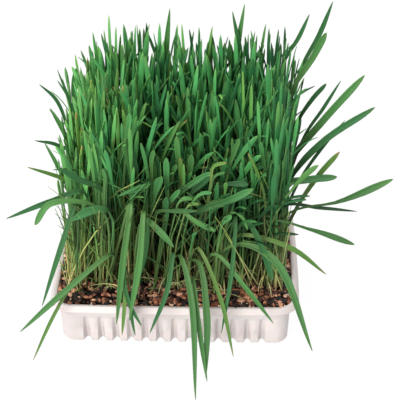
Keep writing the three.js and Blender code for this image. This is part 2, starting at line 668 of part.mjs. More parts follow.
const centres = tuftCentres();
const tops = centres.map((centre) => groundHeight(centre.x, centre.y) - ROOT_DIP);
const trayBody = buildTray();
let mediumBody = buildMedium();
const pockets = centres.map((centre, k) => (
  rootBlock(centre, ROOT_GAP, tops[k] - ROOT_BLOCK.z - ROOT_GAP, GROUND + ROOT_BLOCK.z)
));
mediumBody = mediumBody.subtract(wasm.Manifold.union(pockets));
const tufts = buildGrass(centres, [trayBody, mediumBody]);

const group = new THREE.Group();
group.add(toMesh('tray', trayBody, materials.tray));
group.add(toMesh('growing_medium', mediumBody, materials.medium));
tufts.forEach((blades, k) => {
  const roots = rootBlock(centres[k], 0, tops[k] - ROOT_BLOCK.z, tops[k]);
  const body = wasm.Manifold.union([roots, ...blades]).asOriginal().simplify(TUFT_TOLERANCE);
  const number = String(k + 1).padStart(2, '0');
  const material = new THREE.MeshStandardMaterial({ color: COLOURS.grass, roughness: 0.6, metalness: 0 });
  group.add(toMesh(`grass_tuft_${number}`, body, material));
});

export default group;
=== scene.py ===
"""A tray of young wheatgrass: the moulded tray, the bark medium and the grass, dressed for rendering."""

import math

import bmesh
import bpy
from mathutils import Matrix, Vector, noise


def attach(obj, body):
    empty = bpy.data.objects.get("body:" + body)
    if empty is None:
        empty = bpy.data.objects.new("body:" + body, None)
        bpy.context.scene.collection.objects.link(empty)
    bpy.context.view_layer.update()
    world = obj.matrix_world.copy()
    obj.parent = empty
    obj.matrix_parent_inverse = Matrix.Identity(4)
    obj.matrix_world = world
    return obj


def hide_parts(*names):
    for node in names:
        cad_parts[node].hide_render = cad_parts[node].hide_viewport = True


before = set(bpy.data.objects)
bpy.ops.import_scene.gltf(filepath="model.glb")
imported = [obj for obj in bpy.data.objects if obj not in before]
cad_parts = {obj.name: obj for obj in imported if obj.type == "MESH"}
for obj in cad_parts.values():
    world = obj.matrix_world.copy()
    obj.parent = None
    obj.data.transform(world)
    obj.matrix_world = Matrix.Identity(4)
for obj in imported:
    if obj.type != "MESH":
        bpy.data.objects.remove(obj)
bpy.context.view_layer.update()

MM = 0.001

# ---- tray, in millimetres; an inset is measured inwards from the rim's outer edge ----
RIM_LENGTH = 188.6                # along X, corner to corner
RIM_DEPTH = 143.4                 # along Y
SIDE_BOW = 1.4                    # how far each side bulges at its middle
TRAY_HEIGHT = 39.2
RIM_CORNER = 17.0                 # outer corner radius of the rim
LEAST_CORNER = 5.0                # least corner radius further in
RIM_SLOPE = 2.4                   # how far the skirt leans out below the flat flange
FLANGE_INNER = 5.2                # inset of the flange's inner edge
SKIRT_BOTTOM = 34.8
LIP = 1.3                         # thickness of the skirt at its lower edge
LIP_EDGE = (0.15, 0.12)           # that edge is cut off by this much, in and up
LIP_ROUND = 0.5                   # height of its rounding
SKIRT_INSET = 0.02                # inset of the skirt's outer face above the rounding
WALL_TOP_INSET = 6.5
WALL_TOP = 37.6                   # where the wall's slope would reach the rim
WALL_FLARE = (0.5, 1.6)           # the wall starts to flare this far out from and above the flutes
RIM_JOIN = (3.8, 37.6)            # and meets the rim here
WALL_FOOT_INSET = 7.8
FOOT_INSET = 10.0                 # inset of the flat foot, inside its sloping edge
FOOT_EDGE = 3.0                   # height of the foot's sloping edge
FOOT_CUT = 0.6                    # how far that edge is cut off
WALL = 1.4
FLOOR = 1.8
WELL_INSET = 19.0                 # inside every flute
CORNER_STEPS = 14
MERGE_DISTANCE = 0.004            # points closer than this are one
SHARP_ANGLE = 50                  # edges sharper than this stay crisp, in degrees

# Rounded corners of the rim: the corner and the curve's two ends, as steps in and up from its place.
JOIN_ROUND = ((0.1, 0.0), (0.9, -3.0), (-0.9, -0.9))
OUTER_ROUND = ((0.0, 0.0), (-0.4, -0.9), (0.9, 0.0))
INNER_ROUND = ((0.0, 0.0), (-0.6, 0.0), (0.5, -1.6))

FLUTE_PITCH = 11.15
LONG_SIDE_FLUTES = 13
SHORT_SIDE_FLUTES = 9
FLUTE_TOP = 25.8
FLUTE_SHOULDER = 21.8             # a flute's arched top starts here
FLUTE_AT_FOOT = 0.8               # share of a flute's depth left at the foot's edge
FLUTE_DEPTH = (6.0, 2.2)          # at the foot, at the shoulder
FLUTE_HALF = (3.3, 2.7)           # half its width there
FLUTE_TIP = 0.25                  # least width of the arch, as a share of the shoulder's
INNER_SPREAD = 1.1                # how much wider a flute is on the wall's inner face
FLUTE_STOPS = (-1.0, -0.84, -0.6, -0.24, 0.24, 0.6, 0.84, 1.0)     # across it, and its depth there
FLUTE_SHAPE = (0.0, 0.16, 0.52, 0.94, 0.94, 0.52, 0.16, 0.0)
WALL_ROWS = (7, 12, 17)           # heights of the profile's points below the shoulder
ARCH_ROWS = (0.35, 0.6, 0.8, 0.92, 1)          # and of those above it, as shares of the arch

# ---- growing medium ------------------------------------------------------------
GROUND = 38.0
CRUMB_HEIGHT = 1.1                # greatest rise or fall of its crumbly top
CRUMBS = {"long": 3.1, "cross": 2.7, "slant": 4.3, "shift": 0.7, "share": 0.6}
BED_CELLS = (92, 70)
BED_GAP = 0.2                     # clearance between the bed and the rim's inner edge
BED_DROP = 0.9                    # how far the bed lies below the medium's top
BED_DEPTH = 8
BED_TAPER = (0.93, 0.91)          # size of its underside, as shares of its top
LUMP_SIZE = 2.2                   # lumps on the bed, finer than the crumbs
LUMP_HEIGHT = 1.1
GRAIN_COUNT = 5460
GRAIN_BATCHES = 26                # they are made in batches, which takes less time
GRAIN_ROOM = 0.4                  # least distance of a grain's middle from the rim
GRAIN_SIZE = (0.9, 2.4)           # least and greatest radius
GRAIN_LENGTH = (1.0, 1.9)         # least and greatest half length, as shares of the radius
GRAIN_FLATNESS = (0.9, 0.62)      # half width and half thickness, as shares of it too
GRAIN_BUMPS = 0.55                # how far its points stray in and out, as a share of it
GRAIN_TURN = 6.28                 # a grain lies any way round, in radians
GRAIN_TILT = 1.6                  # and tilts either way by up to half of this
GRAIN_LIFT = (-0.5, 0.6)          # how deep or high it lies, as shares of its radius
GRAIN_TONE_SPREAD = 0.15

# ---- grass: the stand of tufts -------------------------------------------------
TUFT_COLUMNS = 8
TUFT_ROWS = 5
TUFT_PITCH_X = 20.8
TUFT_PITCH_Y = 23.0
STAND_BACK = 6.0                  # the stand sits this far behind the tray's middle
TUFT_JITTER = 0.9
ROOT_BLOCK = (14.4, 18.0)
ROOT_MARGIN = 2.2                 # blades leave the root block inside this margin
BLADES_ACROSS = (3, 4)            # a tuft's own blades, in jittered places
ROOT_LOOSENESS = 0.7
FAN = 0.3                         # how much a tuft's blades spread from each other
SINK = 5.0                        # how deep a blade starts below the medium's top
TALL = 157.0                      # height of the stand above the medium
UPRIGHT = (0.76, 1.08)            # least and greatest height of an upright blade, as shares of it
BEND_OUT = (0.12, 0.55)           # where an upright blade bends: across and up
TURN = 2.4                        # how far blades turn from facing the front, in radians
WIDTH_RANGE = (0.75, 1.2)         # least and greatest width, as shares of the leaf width
TIP_SPREAD = 24.0                 # how far the tips stray from the stand's lean
FALLEN = {                        # blades that have fallen over, in the stand's low place
    "turn": -0.3,
    "reach": (26, 60),
    "bend": (74, 118),            # height of its bend, and of its tip as shares of that
    "rise": (0.95, 1.2),
    "over": 0.35,                 # where it bends, as shares of its reach and of the bend's height
    "up": 0.86,
}

# How the stand changes over the planted ground: from where to where, and by how much.
PLANTED = (-84.0, 84.0, -47.0, 64.0)           # left, right, front, back
STAND_END = 86.0                  # half its length
FRONT = {"y": (0, -60), "drop": 0.12, "lean": -5}
BACK = {"y": (20, 60), "rise": 0.05, "lean": 6}
LEFT_END = {"x": (-55, -86), "drop": 0.2, "lean": 7}
RIGHT_END_LEAN = 2
END_CALM = 0.5                    # how much less the tips stray at the ends
LEFT_RIPE = {"x": (-40, -84), "share": 0.26}   # blades are riper towards the left end
LEFT_LIGHT = {"x": (-10, -76), "share": 0.4}   # and lighter
# The stand is lowest in the middle and right of the front, and bare ground shows in the middle.
LOW_PLACE = {"y": (18, -14), "x": 16, "reach": (32, 50), "drop": 0.28, "fallen": 0.3}
OPEN_PLACE = {"y": (-24, -40), "x": -6, "reach": (20, 34), "missing": 0.5}
PARTINGS = (                      # thin places in the stand: x, y, radius
    (-13, 0, 9),
    (0, -14, 9),
    (48, -14, 8),
    (-34, 14, 6),
)
BACK_REACH = 72.0                 # no filling blade or stalk leans further out at the back

# ---- grass: one blade ----------------------------------------------------------
LEAF_WIDTH = 3.5
STEM_WIDTH = 0.95
LONG_STEM = 1.5                   # width of a long blade's stem
LEAF_THICKNESS = 0.3
LEAF_FOLD = (1.1, 0.5)            # how deep a stem and a leaf are folded, as shares of half the width
LEAST_HALF = 0.08                 # least half width, at a blade's very tip
LEAF_RUN_LIMIT = 0.88             # a leaf that runs more than this along its width is turned
# Where along a blade its stem widens to a leaf.
STAND_LEAF = (0.5, 0.78)
LEAF_LIFT = {"y": (-16, -42), "share": 0.12}   # how much further it does so in front and at the ends
LONG_LEAF = (0.25, 0.84)
SHORT_LEAF = (0.45, 0.85)
STRAP_LEAF = (0.42, 0.66)         # some long blades widen sooner or later than most
SPOON_LEAF = (0.66, 0.9)
# Where along a blade its point starts, and how blunt it is.
STAND_POINT = (0.89, 2.2)
ROUND_POINT = (0.88, 2.4)
FINE_POINT = (0.76, 1.6)
TAPER_POINT = (0.8, 1.3)
POINT_CURVE = 0.7                 # less than 1 rounds its sides
LEAF_STOPS = (0, 0.13, 0.27, 0.4, 0.52, 0.63, 0.74, 0.84, 0.91, 0.95, 0.98, 1)
LONG_STOPS = tuple(k / 22 for k in range(20)) + (0.89, 0.92, 0.95, 0.975, 0.99, 1)
SHORT_STOPS = (0, 0.2, 0.4, 0.5, 0.6, 0.68, 0.76, 0.83, 0.89, 0.94, 0.975, 1)
LONG_COLUMNS = 4                  # faces across a long blade
COLLAR = 4                        # a long blade leaves the medium upright, up to this height
LONG_TONES = 0.12                 # how much the tones of one finish differ
LONG_TWIST = 0.5
RIPER = 0.5                       # how much riper than the others a blade of the stand may be
SHADE_DEPTH = (1, 14)             # painted shade: from how far inside the planted ground stems are painted darker
SHADE_HEIGHT = (52, 130)          # and up to what height above the medium
LEFT_SHADE = {"x": (-20, -80), "drop": 0.35}   # the painted shade is weaker towards the left end

# ---- grass: what grows between the tufts' own blades ---------------------------
FILL_PER_TUFT = 34
FILL_FRONT = 9                    # filling blades start this far behind the planted ground's front
FILL_ROOM = 3.5                   # least distance of their roots from the rim
FILL_HEIGHT = (0.66, 1.07)        # least and greatest, as shares of the stand's
FILL_LOW = 0.5                    # the least in its low place
FILL_SPREAD = 40.0                # how far their tips stray
FILL_NOD = (2.2, 1.0)             # how seldom leaves nod, and in the low place
FILL_SIDEWAYS = 0.7               # share of leaves in the low place that fall to the right
FILL_FAN = 1.8                    # how widely those spread, in radians
FILL_SIDE_OVER = (3, 44)          # how far over they reach, the least and the most nodding one
FILL_OVER = (3, 38)               # how far the others do
FILL_BEND = (0.35, 0.62, 0.84)    # where one bends: across, and up if it nods least and most
FILL_TIP = (1.0, 0.84)            # height of its tip if it nods least and most
FILL_TURN = 2.8                   # how far upright ones turn from facing the front, in radians
FILL_NODDING = 0.25               # past this nod, a leaf's broad side faces up
FILL_WIDTH = (0.6, 1.12)          # least and greatest, as shares of the leaf width
FILL_NARROWER = 0.3               # at the ends
FILL_LIFT = 0.05                  # how much further along a blade widens at the ends
FILL_TWIST = 1.6
FILL_RIPER = 0.6
FILL_GAPS = {"open": 2.4, "front": 0.85, "y": (-16, -44)}      # shares left out, by place

STALK_COUNT = 860
STALK_WIDTH = 0.85
STALK_STOPS = (0, 0.25, 0.5, 0.75, 1)
STALK_POINT = (0.8, 2)
STALK_FRONT = (4, 50)             # three stalks in five stand this far behind the ground's front
STALK_END = 26                    # one stands within this of an end
STALK_BACK = 18                   # and one within this of the back
STALK_HEIGHT = (36, 116)
STALK_REACH = (0.05, 0.85)        # how far it leans, as a share of its height
STALK_BEND = (0.1, 0.7, 0.6)      # where it bends: least and most across, and up, as shares
STALK_TONE = (0.3, 1.0)
STALK_WIDTHS = (0.8, 1.25)        # least and greatest, as shares of the stalk width
STALK_GREEN = (0.22, 0.9)
STALK_GAPS = 1.3                  # how many are left out in the open place
STALK_ROOM = 3.0                  # least distance of their roots from the rim
STALK_BOUND = 90.0                # no bare stalk reaches further out to the sides

STRAW_COUNT = 150
STRAW_WIDTH = 1.15                # as a share of a stalk's
STRAW_FRONT = (-9, 26)            # where they start, behind the planted ground's front
STRAW_SINK = 1
STRAW_REACH = (8, 30)
STRAW_RISE = (4, 34)              # height of its bend
STRAW_BEND = (0.1, 0.5)           # how far along it bends
STRAW_TIP = (0.2, 1.0)            # height of its far end, as a share of its rise
STRAW_TONE = (0.2, 0.8)
STRAW_GREEN = (0.1, 0.4)
STRAW_ROOM = (2.5, 2.0)           # least distance of its two ends from the rim

# ---- seeds of the random draws; the tufts' and the fillings' seeds count up ----
TUFT_PLACES_SEED = 4
GRAIN_SEED = 11
FINISH_SEED = 77
BLADE_SEED = 100
STALK_SEED = 501
STRAW_SEED = 502
FILL_SEED = 900


# ---- shared helpers ------------------------------------------------------------

def lerp(a, b, t):
    return a + (b - a) * t


def smooth(low, high, value):
    t = min(max((value - low) / (high - low), 0.0), 1.0)
    return t * t * (3 - 2 * t)


def seeded_draw(seed):
    """A seeded stream of numbers from 0 to 1, the same one that the CAD source draws from."""
    state = seed & 0xFFFFFFFF

    def imul(a, b):
        return (a * b) & 0xFFFFFFFF

    def draw():
        nonlocal state
        state = (state + 0x6D2B79F5) & 0xFFFFFFFF
        t = imul(state ^ (state >> 15), 1 | state)
        t = ((t + imul(t ^ (t >> 7), 61 | t)) & 0xFFFFFFFF) ^ t
        return (t ^ (t >> 14)) / 4294967296

    return draw


def piece_from(bm, name, material, nodes):
    """Turns a bmesh in millimetres into a finished piece that stands for CAD nodes."""
    mesh = bpy.data.meshes.new(name)
    bm.to_mesh(mesh)
    bm.free()
    mesh.transform(Matrix.Scale(MM, 4))
    mesh.materials.append(material)
    piece = bpy.data.objects.new(name, mesh)
    bpy.context.scene.collection.objects.link(piece)
    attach(piece, "root")
    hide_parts(*nodes)
    return piece


# ---- materials -----------------------------------------------------------------

class Finish:
    """A node material with short names for the nodes it is wired from."""

    def __init__(self, name):
        self.material = bpy.data.materials.new(name)
        self.material.use_nodes = True
        self.tree = self.material.node_tree
        self.shader = self.tree.nodes["Principled BSDF"]

    def node(self, kind, **values):
        node = self.tree.nodes.new(kind)
        for key, value in values.items():
            if hasattr(node, key):
                setattr(node, key, value)
            else:
                node.inputs[key].default_value = value
        return node

    def link(self, source, target):
        self.tree.links.new(source, target)

    def set(self, **values):
        for key, value in values.items():
            self.shader.inputs[key.replace("_", " ")].default_value = value

    def attribute(self, name):
        return self.node("ShaderNodeAttribute", attribute_name=name)

    def noise(self, scale, detail):
        place = self.node("ShaderNodeTexCoord")
        texture = self.node("ShaderNodeTexNoise", Scale=scale, Detail=detail, Roughness=0.55)
        self.link(place.outputs["Object"], texture.inputs["Vector"])
        return texture.outputs["Fac"]

    def ramp(self, source, stops, smooth_steps=True):
        node = self.node("ShaderNodeValToRGB")
        ramp = node.color_ramp
        ramp.interpolation = "EASE" if smooth_steps else "LINEAR"
        while len(ramp.elements) < len(stops):
            ramp.elements.new(0.5)
        for element, (position, colour) in zip(ramp.elements, stops):
            element.position = position
            element.color = (*colour, 1.0)
        self.link(source, node.inputs["Fac"])
        return node.outputs["Color"]

    def mix(self, kind, factor, a, b):
        node = self.node("ShaderNodeMix", data_type="RGBA", blend_type=kind)
        for socket, value in ((node.inputs[0], factor), (node.inputs[6], a), (node.inputs[7], b)):
            if isinstance(value, bpy.types.NodeSocket):
                self.link(value, socket)
            elif isinstance(value, tuple):
                socket.default_value = (*value, 1.0)
            else:
                socket.default_value = value
        return node.outputs[2]

    def maths(self, operation, a, b=0.0):
        node = self.node("ShaderNodeMath", operation=operation)
        for socket, value in zip(node.inputs, (a, b)):
            if isinstance(value, bpy.types.NodeSocket):
                self.link(value, socket)
            else:
                socket.default_value = value
        return node.outputs[0]

    def bump(self, height, strength, distance):
        node = self.node("ShaderNodeBump", Strength=strength, Distance=distance)
        self.link(height, node.inputs["Height"])
        self.link(node.outputs["Normal"], self.shader.inputs["Normal"])

    def colour(self, source):
        self.link(source, self.shader.inputs["Base Color"])


def tray_plastic():
    finish = Finish("warm_white_plastic")
    cloud = finish.noise(22.0, detail=4.0)
    finish.colour(finish.ramp(cloud, [(0.3, (0.535, 0.485, 0.47)), (0.7, (0.585, 0.535, 0.52))]))
    finish.set(Roughness=0.5, IOR=1.46, Subsurface_Weight=0.12, Subsurface_Scale=0.004)
    finish.bump(finish.noise(900.0, detail=2.0), 0.06, 0.0002)
    return finish.material


def dark_bark():
    finish = Finish("damp_bark_bed")
    grain = finish.noise(420.0, detail=5.0)
    finish.colour(finish.ramp(grain, [
        (0.35, (0.003, 0.002, 0.0015)),
        (0.6, (0.012, 0.006, 0.004)),
        (0.8, (0.06, 0.025, 0.014)),
    ]))
    finish.set(Roughness=0.9, Specular_IOR_Level=0.1)
    finish.bump(grain, 0.7, 0.001)
    return finish.material


def grain_finish():
    finish = Finish("bark_and_grit")
    tone = finish.attribute("tone").outputs["Fac"]
    speckle = finish.noise(900.0, detail=4.0)
    body = finish.ramp(tone, [
        (0.0, (0.003, 0.0015, 0.001)),
        (0.26, (0.016, 0.006, 0.004)),
        (0.46, (0.13, 0.042, 0.022)),
        (0.70, (0.42, 0.165, 0.078)),
        (0.90, (0.66, 0.36, 0.22)),
        (1.0, (0.92, 0.72, 0.58)),
    ], smooth_steps=False)
    shade = finish.ramp(speckle, [(0.3, (0.45, 0.42, 0.40)), (0.7, (1.15, 1.1, 1.05))])
    finish.colour(finish.mix("MULTIPLY", 1.0, body, shade))
    finish.set(Roughness=0.7)
    finish.bump(speckle, 0.5, 0.0006)
    return finish.material


VEIN_PITCH = 30.0                 # radians of the veins' wave from a leaf's middle to its edge


def leaf_finish():
    finish = Finish("fresh_grass_leaf")
    tone = finish.attribute("tone").outputs["Fac"]
    ripe = finish.attribute("ripe").outputs["Fac"]
    along = finish.attribute("along").outputs["Fac"]
    across = finish.attribute("across").outputs["Fac"]
    # painted shade: stems well inside the stand are painted darker low down
    deep = finish.attribute("deep").outputs["Fac"]
    body = finish.ramp(along, [
        (0.0, (0.42, 0.38, 0.20)),
        (0.10, (0.27, 0.33, 0.11)),
        (0.24, (0.125, 0.25, 0.06)),
        (0.48, (0.052, 0.208, 0.060)),
        (0.93, (0.046, 0.228, 0.072)),
        (1.0, (0.085, 0.24, 0.068)),
    ], smooth_steps=False)
    pale = finish.ramp(along, [
        (0.0, (0.50, 0.43, 0.22)),
        (0.4, (0.28, 0.34, 0.11)),
        (0.8, (0.13, 0.255, 0.034)),
        (1.0, (0.16, 0.27, 0.05)),
    ], smooth_steps=False)
    mixed = finish.mix("MIX", ripe, body, pale)
    tip = finish.ramp(along, [(0.94, (0.0, 0.0, 0.0)), (1.0, (1.0, 1.0, 1.0))])
    dry = finish.ramp(ripe, [(0.45, (0.0, 0.0, 0.0)), (0.6, (0.8, 0.8, 0.8))])
    mixed = finish.mix("MIX", finish.maths("MULTIPLY", tip, dry), mixed, (0.36, 0.21, 0.08))
    light = finish.ramp(tone, [(0.0, (0.36, 0.43, 0.46)), (0.5, (0.98, 1.0, 1.0)), (1.0, (1.66, 1.54, 1.4))])
    toned = finish.mix("MULTIPLY", 1.0, mixed, light)
    veins = finish.maths("SINE", finish.maths("MULTIPLY", across, VEIN_PITCH))
    veins = finish.maths("MULTIPLY", finish.maths("ADD", veins, 1.0), 0.5)
    vein_shade = finish.ramp(veins, [(0.0, (0.84, 0.84, 0.84)), (1.0, (1.08, 1.08, 1.08))])
    veined = finish.mix("MULTIPLY", 1.0, toned, vein_shade)
    # painted shade: the colour is multiplied towards a dark green by the stem's painted shade
    finish.colour(finish.mix("MULTIPLY", deep, veined, (0.14, 0.16, 0.12)))
    finish.set(Roughness=0.5, IOR=1.42, Specular_IOR_Level=0.3)
    finish.bump(veins, 0.25, 0.0003)
    return finish.material


# ---- camera, light and floor ----------------------------------------------------

CAMERA_AT = Vector((0.03556, -0.72891, 0.58169))
LOOKS_AT = Vector((0.01799, 0.00043, 0.0896))
LENS = 102.1
SENSOR = 36.0
CLIP = (0.01, 30.0)

LIGHTS_AIM = Vector((0.0, 0.0, 0.09))
LIGHTS = (                        # name, place, size, power, colour
    ("key", (-0.58, -1.4, 0.95), 1.0, 34.5, (1.0, 0.98, 0.95)),
    ("top", (0.0, 0.0, 1.6), 0.6, 8.0, (1.0, 0.98, 0.96)),
    ("side", (-1.5, -0.7, 0.55), 1.0, 9.0, (1.0, 0.98, 0.97)),
    ("back", (0.55, 0.9, 1.3), 0.8, 9.0, (1.0, 0.98, 0.97)),
)
SKY = (0.97, 0.98, 1.0, 1.0)
SKY_STRENGTH = 0.5
FLOOR_HALF = 3.0


def set_camera():
    data = bpy.data.cameras.new("camera")
    data.lens = LENS
    data.sensor_width = SENSOR
    data.clip_start, data.clip_end = CLIP
    camera = bpy.data.objects.new("camera", data)
    camera.location = CAMERA_AT
    camera.rotation_euler = (LOOKS_AT - CAMERA_AT).to_track_quat("-Z", "Y").to_euler()
    bpy.context.scene.collection.objects.link(camera)
    bpy.context.scene.camera = camera


def area_light(name, place, size, power, colour):
    data = bpy.data.lights.new(name, "AREA")
    data.size = size
    data.energy = power
    data.color = colour
    lamp = bpy.data.objects.new(name, data)
    lamp.location = place
    lamp.rotation_euler = (LIGHTS_AIM - Vector(place)).to_track_quat("-Z", "Y").to_euler()
    bpy.context.scene.collection.objects.link(lamp)


def set_light():
    for light in LIGHTS:
        area_light(*light)
    world = bpy.data.worlds.new("studio")
    world.use_nodes = True
    background = world.node_tree.nodes["Background"]
    background.inputs["Color"].default_value = SKY
    background.inputs["Strength"].default_value = SKY_STRENGTH
    bpy.context.scene.world = world
    bpy.context.scene.view_settings.view_transform = "Standard"


def lay_floor():
    bm = bmesh.new()
    bmesh.ops.create_grid(bm, x_segments=1, y_segments=1, size=FLOOR_HALF)
    mesh = bpy.data.meshes.new("floor")
    bm.to_mesh(mesh)
    bm.free()
    paper = Finish("pale_studio_floor")
    paper.set(Base_Color=(0.06, 0.06, 0.06, 1.0), Roughness=0.9, Specular_IOR_Level=0.0,
              Emission_Color=(1.0, 1.0, 1.0, 1.0), Emission_Strength=0.94)
    mesh.materials.append(paper.material)
    floor = bpy.data.objects.new("floor", mesh)
    bpy.context.scene.collection.objects.link(floor)


# ---- tray -----------------------------------------------------------------------

# Sides in anticlockwise order: outward normal, direction of travel, half sizes, flutes.
SIDES = (
    ((1, 0), (0, 1), RIM_LENGTH / 2, RIM_DEPTH / 2, SHORT_SIDE_FLUTES),
    ((0, 1), (-1, 0), RIM_DEPTH / 2, RIM_LENGTH / 2, LONG_SIDE_FLUTES),
    ((-1, 0), (0, -1), RIM_LENGTH / 2, RIM_DEPTH / 2, SHORT_SIDE_FLUTES),
    ((0, -1), (1, 0), RIM_DEPTH / 2, RIM_LENGTH / 2, LONG_SIDE_FLUTES),
)


def bowed(x, y):
    """Moves a point out as far as the sides bulge there."""
    across_x = 1 - (x / (RIM_LENGTH / 2)) ** 2
    across_y = 1 - (y / (RIM_DEPTH / 2)) ** 2
    return (
        x * (1 + SIDE_BOW / (RIM_LENGTH / 2) * across_y),
        y * (1 + SIDE_BOW / (RIM_DEPTH / 2) * across_x),
    )


def flute_at(z):
    """A flute's depth and half width at a height: an arch at its top, wider below."""
    t = min(z / FLUTE_SHOULDER, 1.0)
    above = min(max((z - FLUTE_SHOULDER) / (FLUTE_TOP - FLUTE_SHOULDER), 0.0), 1.0)
    arch = math.sqrt(1 - above * above)
    return lerp(*FLUTE_DEPTH, t) * arch, lerp(*FLUTE_HALF, t) * max(arch, FLUTE_TIP)


def tray_stations():
    """One function for each station round the tray: (inset, z, fluted, spread) to (x, y)."""
    stations = []

    def on_side(side, centre, stop, shape):
        out, way, half, _, _ = side

        def place(inset, z, fluted, spread):
            depth, half_width = flute_at(z)
            along = centre + stop * (half_width + spread)
            reach = half - inset - depth * shape * fluted
            return bowed(out[0] * reach + way[0] * along, out[1] * reach + way[1] * along)

        return place

    def on_corner(side, turn):
        out, way, half, other, _ = side

        def place(inset, z, fluted, spread):
            radius = max(RIM_CORNER - inset, LEAST_CORNER)
            angle = turn * math.pi / 2
            reach = half - inset - radius * (1 - math.cos(angle))
            along = other - inset - radius * (1 - math.sin(angle))
            return bowed(out[0] * reach + way[0] * along, out[1] * reach + way[1] * along)

        return place

    for side in SIDES:
        flutes = side[4]
        for k in range(flutes):
            centre = (k - (flutes - 1) / 2) * FLUTE_PITCH
            for stop, shape in zip(FLUTE_STOPS, FLUTE_SHAPE):
                stations.append(on_side(side, centre, stop, shape))
        for step in range(CORNER_STEPS):
            stations.append(on_corner(side, step / (CORNER_STEPS - 1)))
    return stations


def wall_inset(z):
    """Inset of the wall's outer face at a height."""
    return lerp(WALL_FOOT_INSET, WALL_TOP_INSET, min(z / WALL_TOP, 1.0))


def rounded(corner, start, end, steps=3):
    """Points that round a profile's corner, from `start` to `end`."""
    points = []
    for k in range(steps + 1):
        t = k / steps
        one = (lerp(start[0], corner[0], t), lerp(start[1], corner[1], t))
        two = (lerp(corner[0], end[0], t), lerp(corner[1], end[1], t))
        points.append((lerp(one[0], two[0], t), lerp(one[1], two[1], t)))
    return points


def rounded_at(place, steps):
    """A rounded corner beside a place: its corner and ends are given as steps in and up from it."""
    corner, start, end = ((place[0] + inward, place[1] + up) for inward, up in steps)
    return rounded(corner, start, end)


def skirt_edge():
    """The rounded lower edge of the rim's skirt, from its inner to its outer face."""
    cut = SKIRT_BOTTOM + LIP_EDGE[1]
    top = SKIRT_BOTTOM + LIP_ROUND
    inner = [(LIP, top), (LIP - LIP_EDGE[0], cut)]
    outer = [(LIP_EDGE[0], cut), (SKIRT_INSET, top)]
    return [*inner, (LIP / 2, SKIRT_BOTTOM), *outer]


def tray_profile():
    """The tray's section, from the middle of its foot, up the outside and back inside."""
    foot = rounded(
        (wall_inset(0) + FOOT_CUT, FOOT_CUT), (FOOT_INSET, 0), (wall_inset(FOOT_EDGE), FOOT_EDGE), steps=4)
    arch = [lerp(FLUTE_SHOULDER, FLUTE_TOP, share) for share in ARCH_ROWS]
    flare = (wall_inset(FLUTE_TOP) - WALL_FLARE[0], FLUTE_TOP + WALL_FLARE[1])
    rim = [
        flare,
        *rounded_at(RIM_JOIN, JOIN_ROUND),
        *skirt_edge(),
        *rounded_at((RIM_SLOPE, TRAY_HEIGHT), OUTER_ROUND),
        *rounded_at((FLANGE_INNER, TRAY_HEIGHT), INNER_ROUND),
    ]
    rows = [(None, 0.0, 0), (WELL_INSET, 0.0, 0)]
    rows += [(inset, z, lerp(FLUTE_AT_FOOT, 1, z / FOOT_EDGE)) for inset, z in foot]
    rows += [(wall_inset(z), z, 1) for z in (*WALL_ROWS, FLUTE_SHOULDER, *arch)]
    rows += [(inset, z, 0) for inset, z in rim]
    inside = [(wall_inset(FLUTE_TOP) + WALL, FLUTE_TOP + WALL, 0),
              (wall_inset(FLUTE_SHOULDER) + WALL, FLUTE_SHOULDER, 1),
              (FOOT_INSET + WALL / 2, FLOOR, 1)]
    return ([(*row, 0.0) for row in rows]
            + [(*row, INNER_SPREAD) for row in inside]
            + [(WELL_INSET, FLOOR, 0, 0.0), (None, FLOOR, 0, 0.0)])


def build_tray(material):
    stations = tray_stations()
    profile = tray_profile()
    bm = bmesh.new()
    grid = bmesh.ops.create_grid(bm, x_segments=len(stations), y_segments=len(profile) - 1, size=1)
    columns = len(stations) + 1
    for index, vert in enumerate(grid["verts"]):
        row, column = divmod(index, columns)
        inset, z, fluted, spread = profile[row]
        x, y = (0.0, 0.0) if inset is None else stations[column % len(stations)](inset, z, fluted, spread)
        vert.co = (x, y, z)
    bmesh.ops.remove_doubles(bm, verts=bm.verts, dist=MERGE_DISTANCE)
    bmesh.ops.recalc_face_normals(bm, faces=bm.faces)
    for face in bm.faces:
        face.smooth = True
    tray = piece_from(bm, "fluted_tray", material, ["tray"])
    tray.data.set_sharp_from_angle(angle=math.radians(SHARP_ANGLE))
    return tray


# ---- growing medium --------------------------------------------------------------

def ground_height(x, y):
    """The medium's crumbly top."""
    lumps = math.sin(x / CRUMBS["long"] + CRUMBS["shift"]) * math.cos(y / CRUMBS["cross"])
    ridges = math.sin((x + 2 * y) / CRUMBS["slant"])
    return GROUND + CRUMB_HEIGHT * CRUMBS["share"] * (lumps + CRUMBS["share"] * ridges)


def edge_room(x, y):
    """How far a point lies inside the rim's inner edge."""
    half_x = RIM_LENGTH / 2 - FLANGE_INNER
    half_y = RIM_DEPTH / 2 - FLANGE_INNER
    radius = RIM_CORNER - FLANGE_INNER
    dx = max(abs(x) - (half_x - radius), 0.0)
    dy = max(abs(y) - (half_y - radius), 0.0)
    return radius - math.hypot(dx, dy) if dx or dy else min(half_x - abs(x), half_y - abs(y))


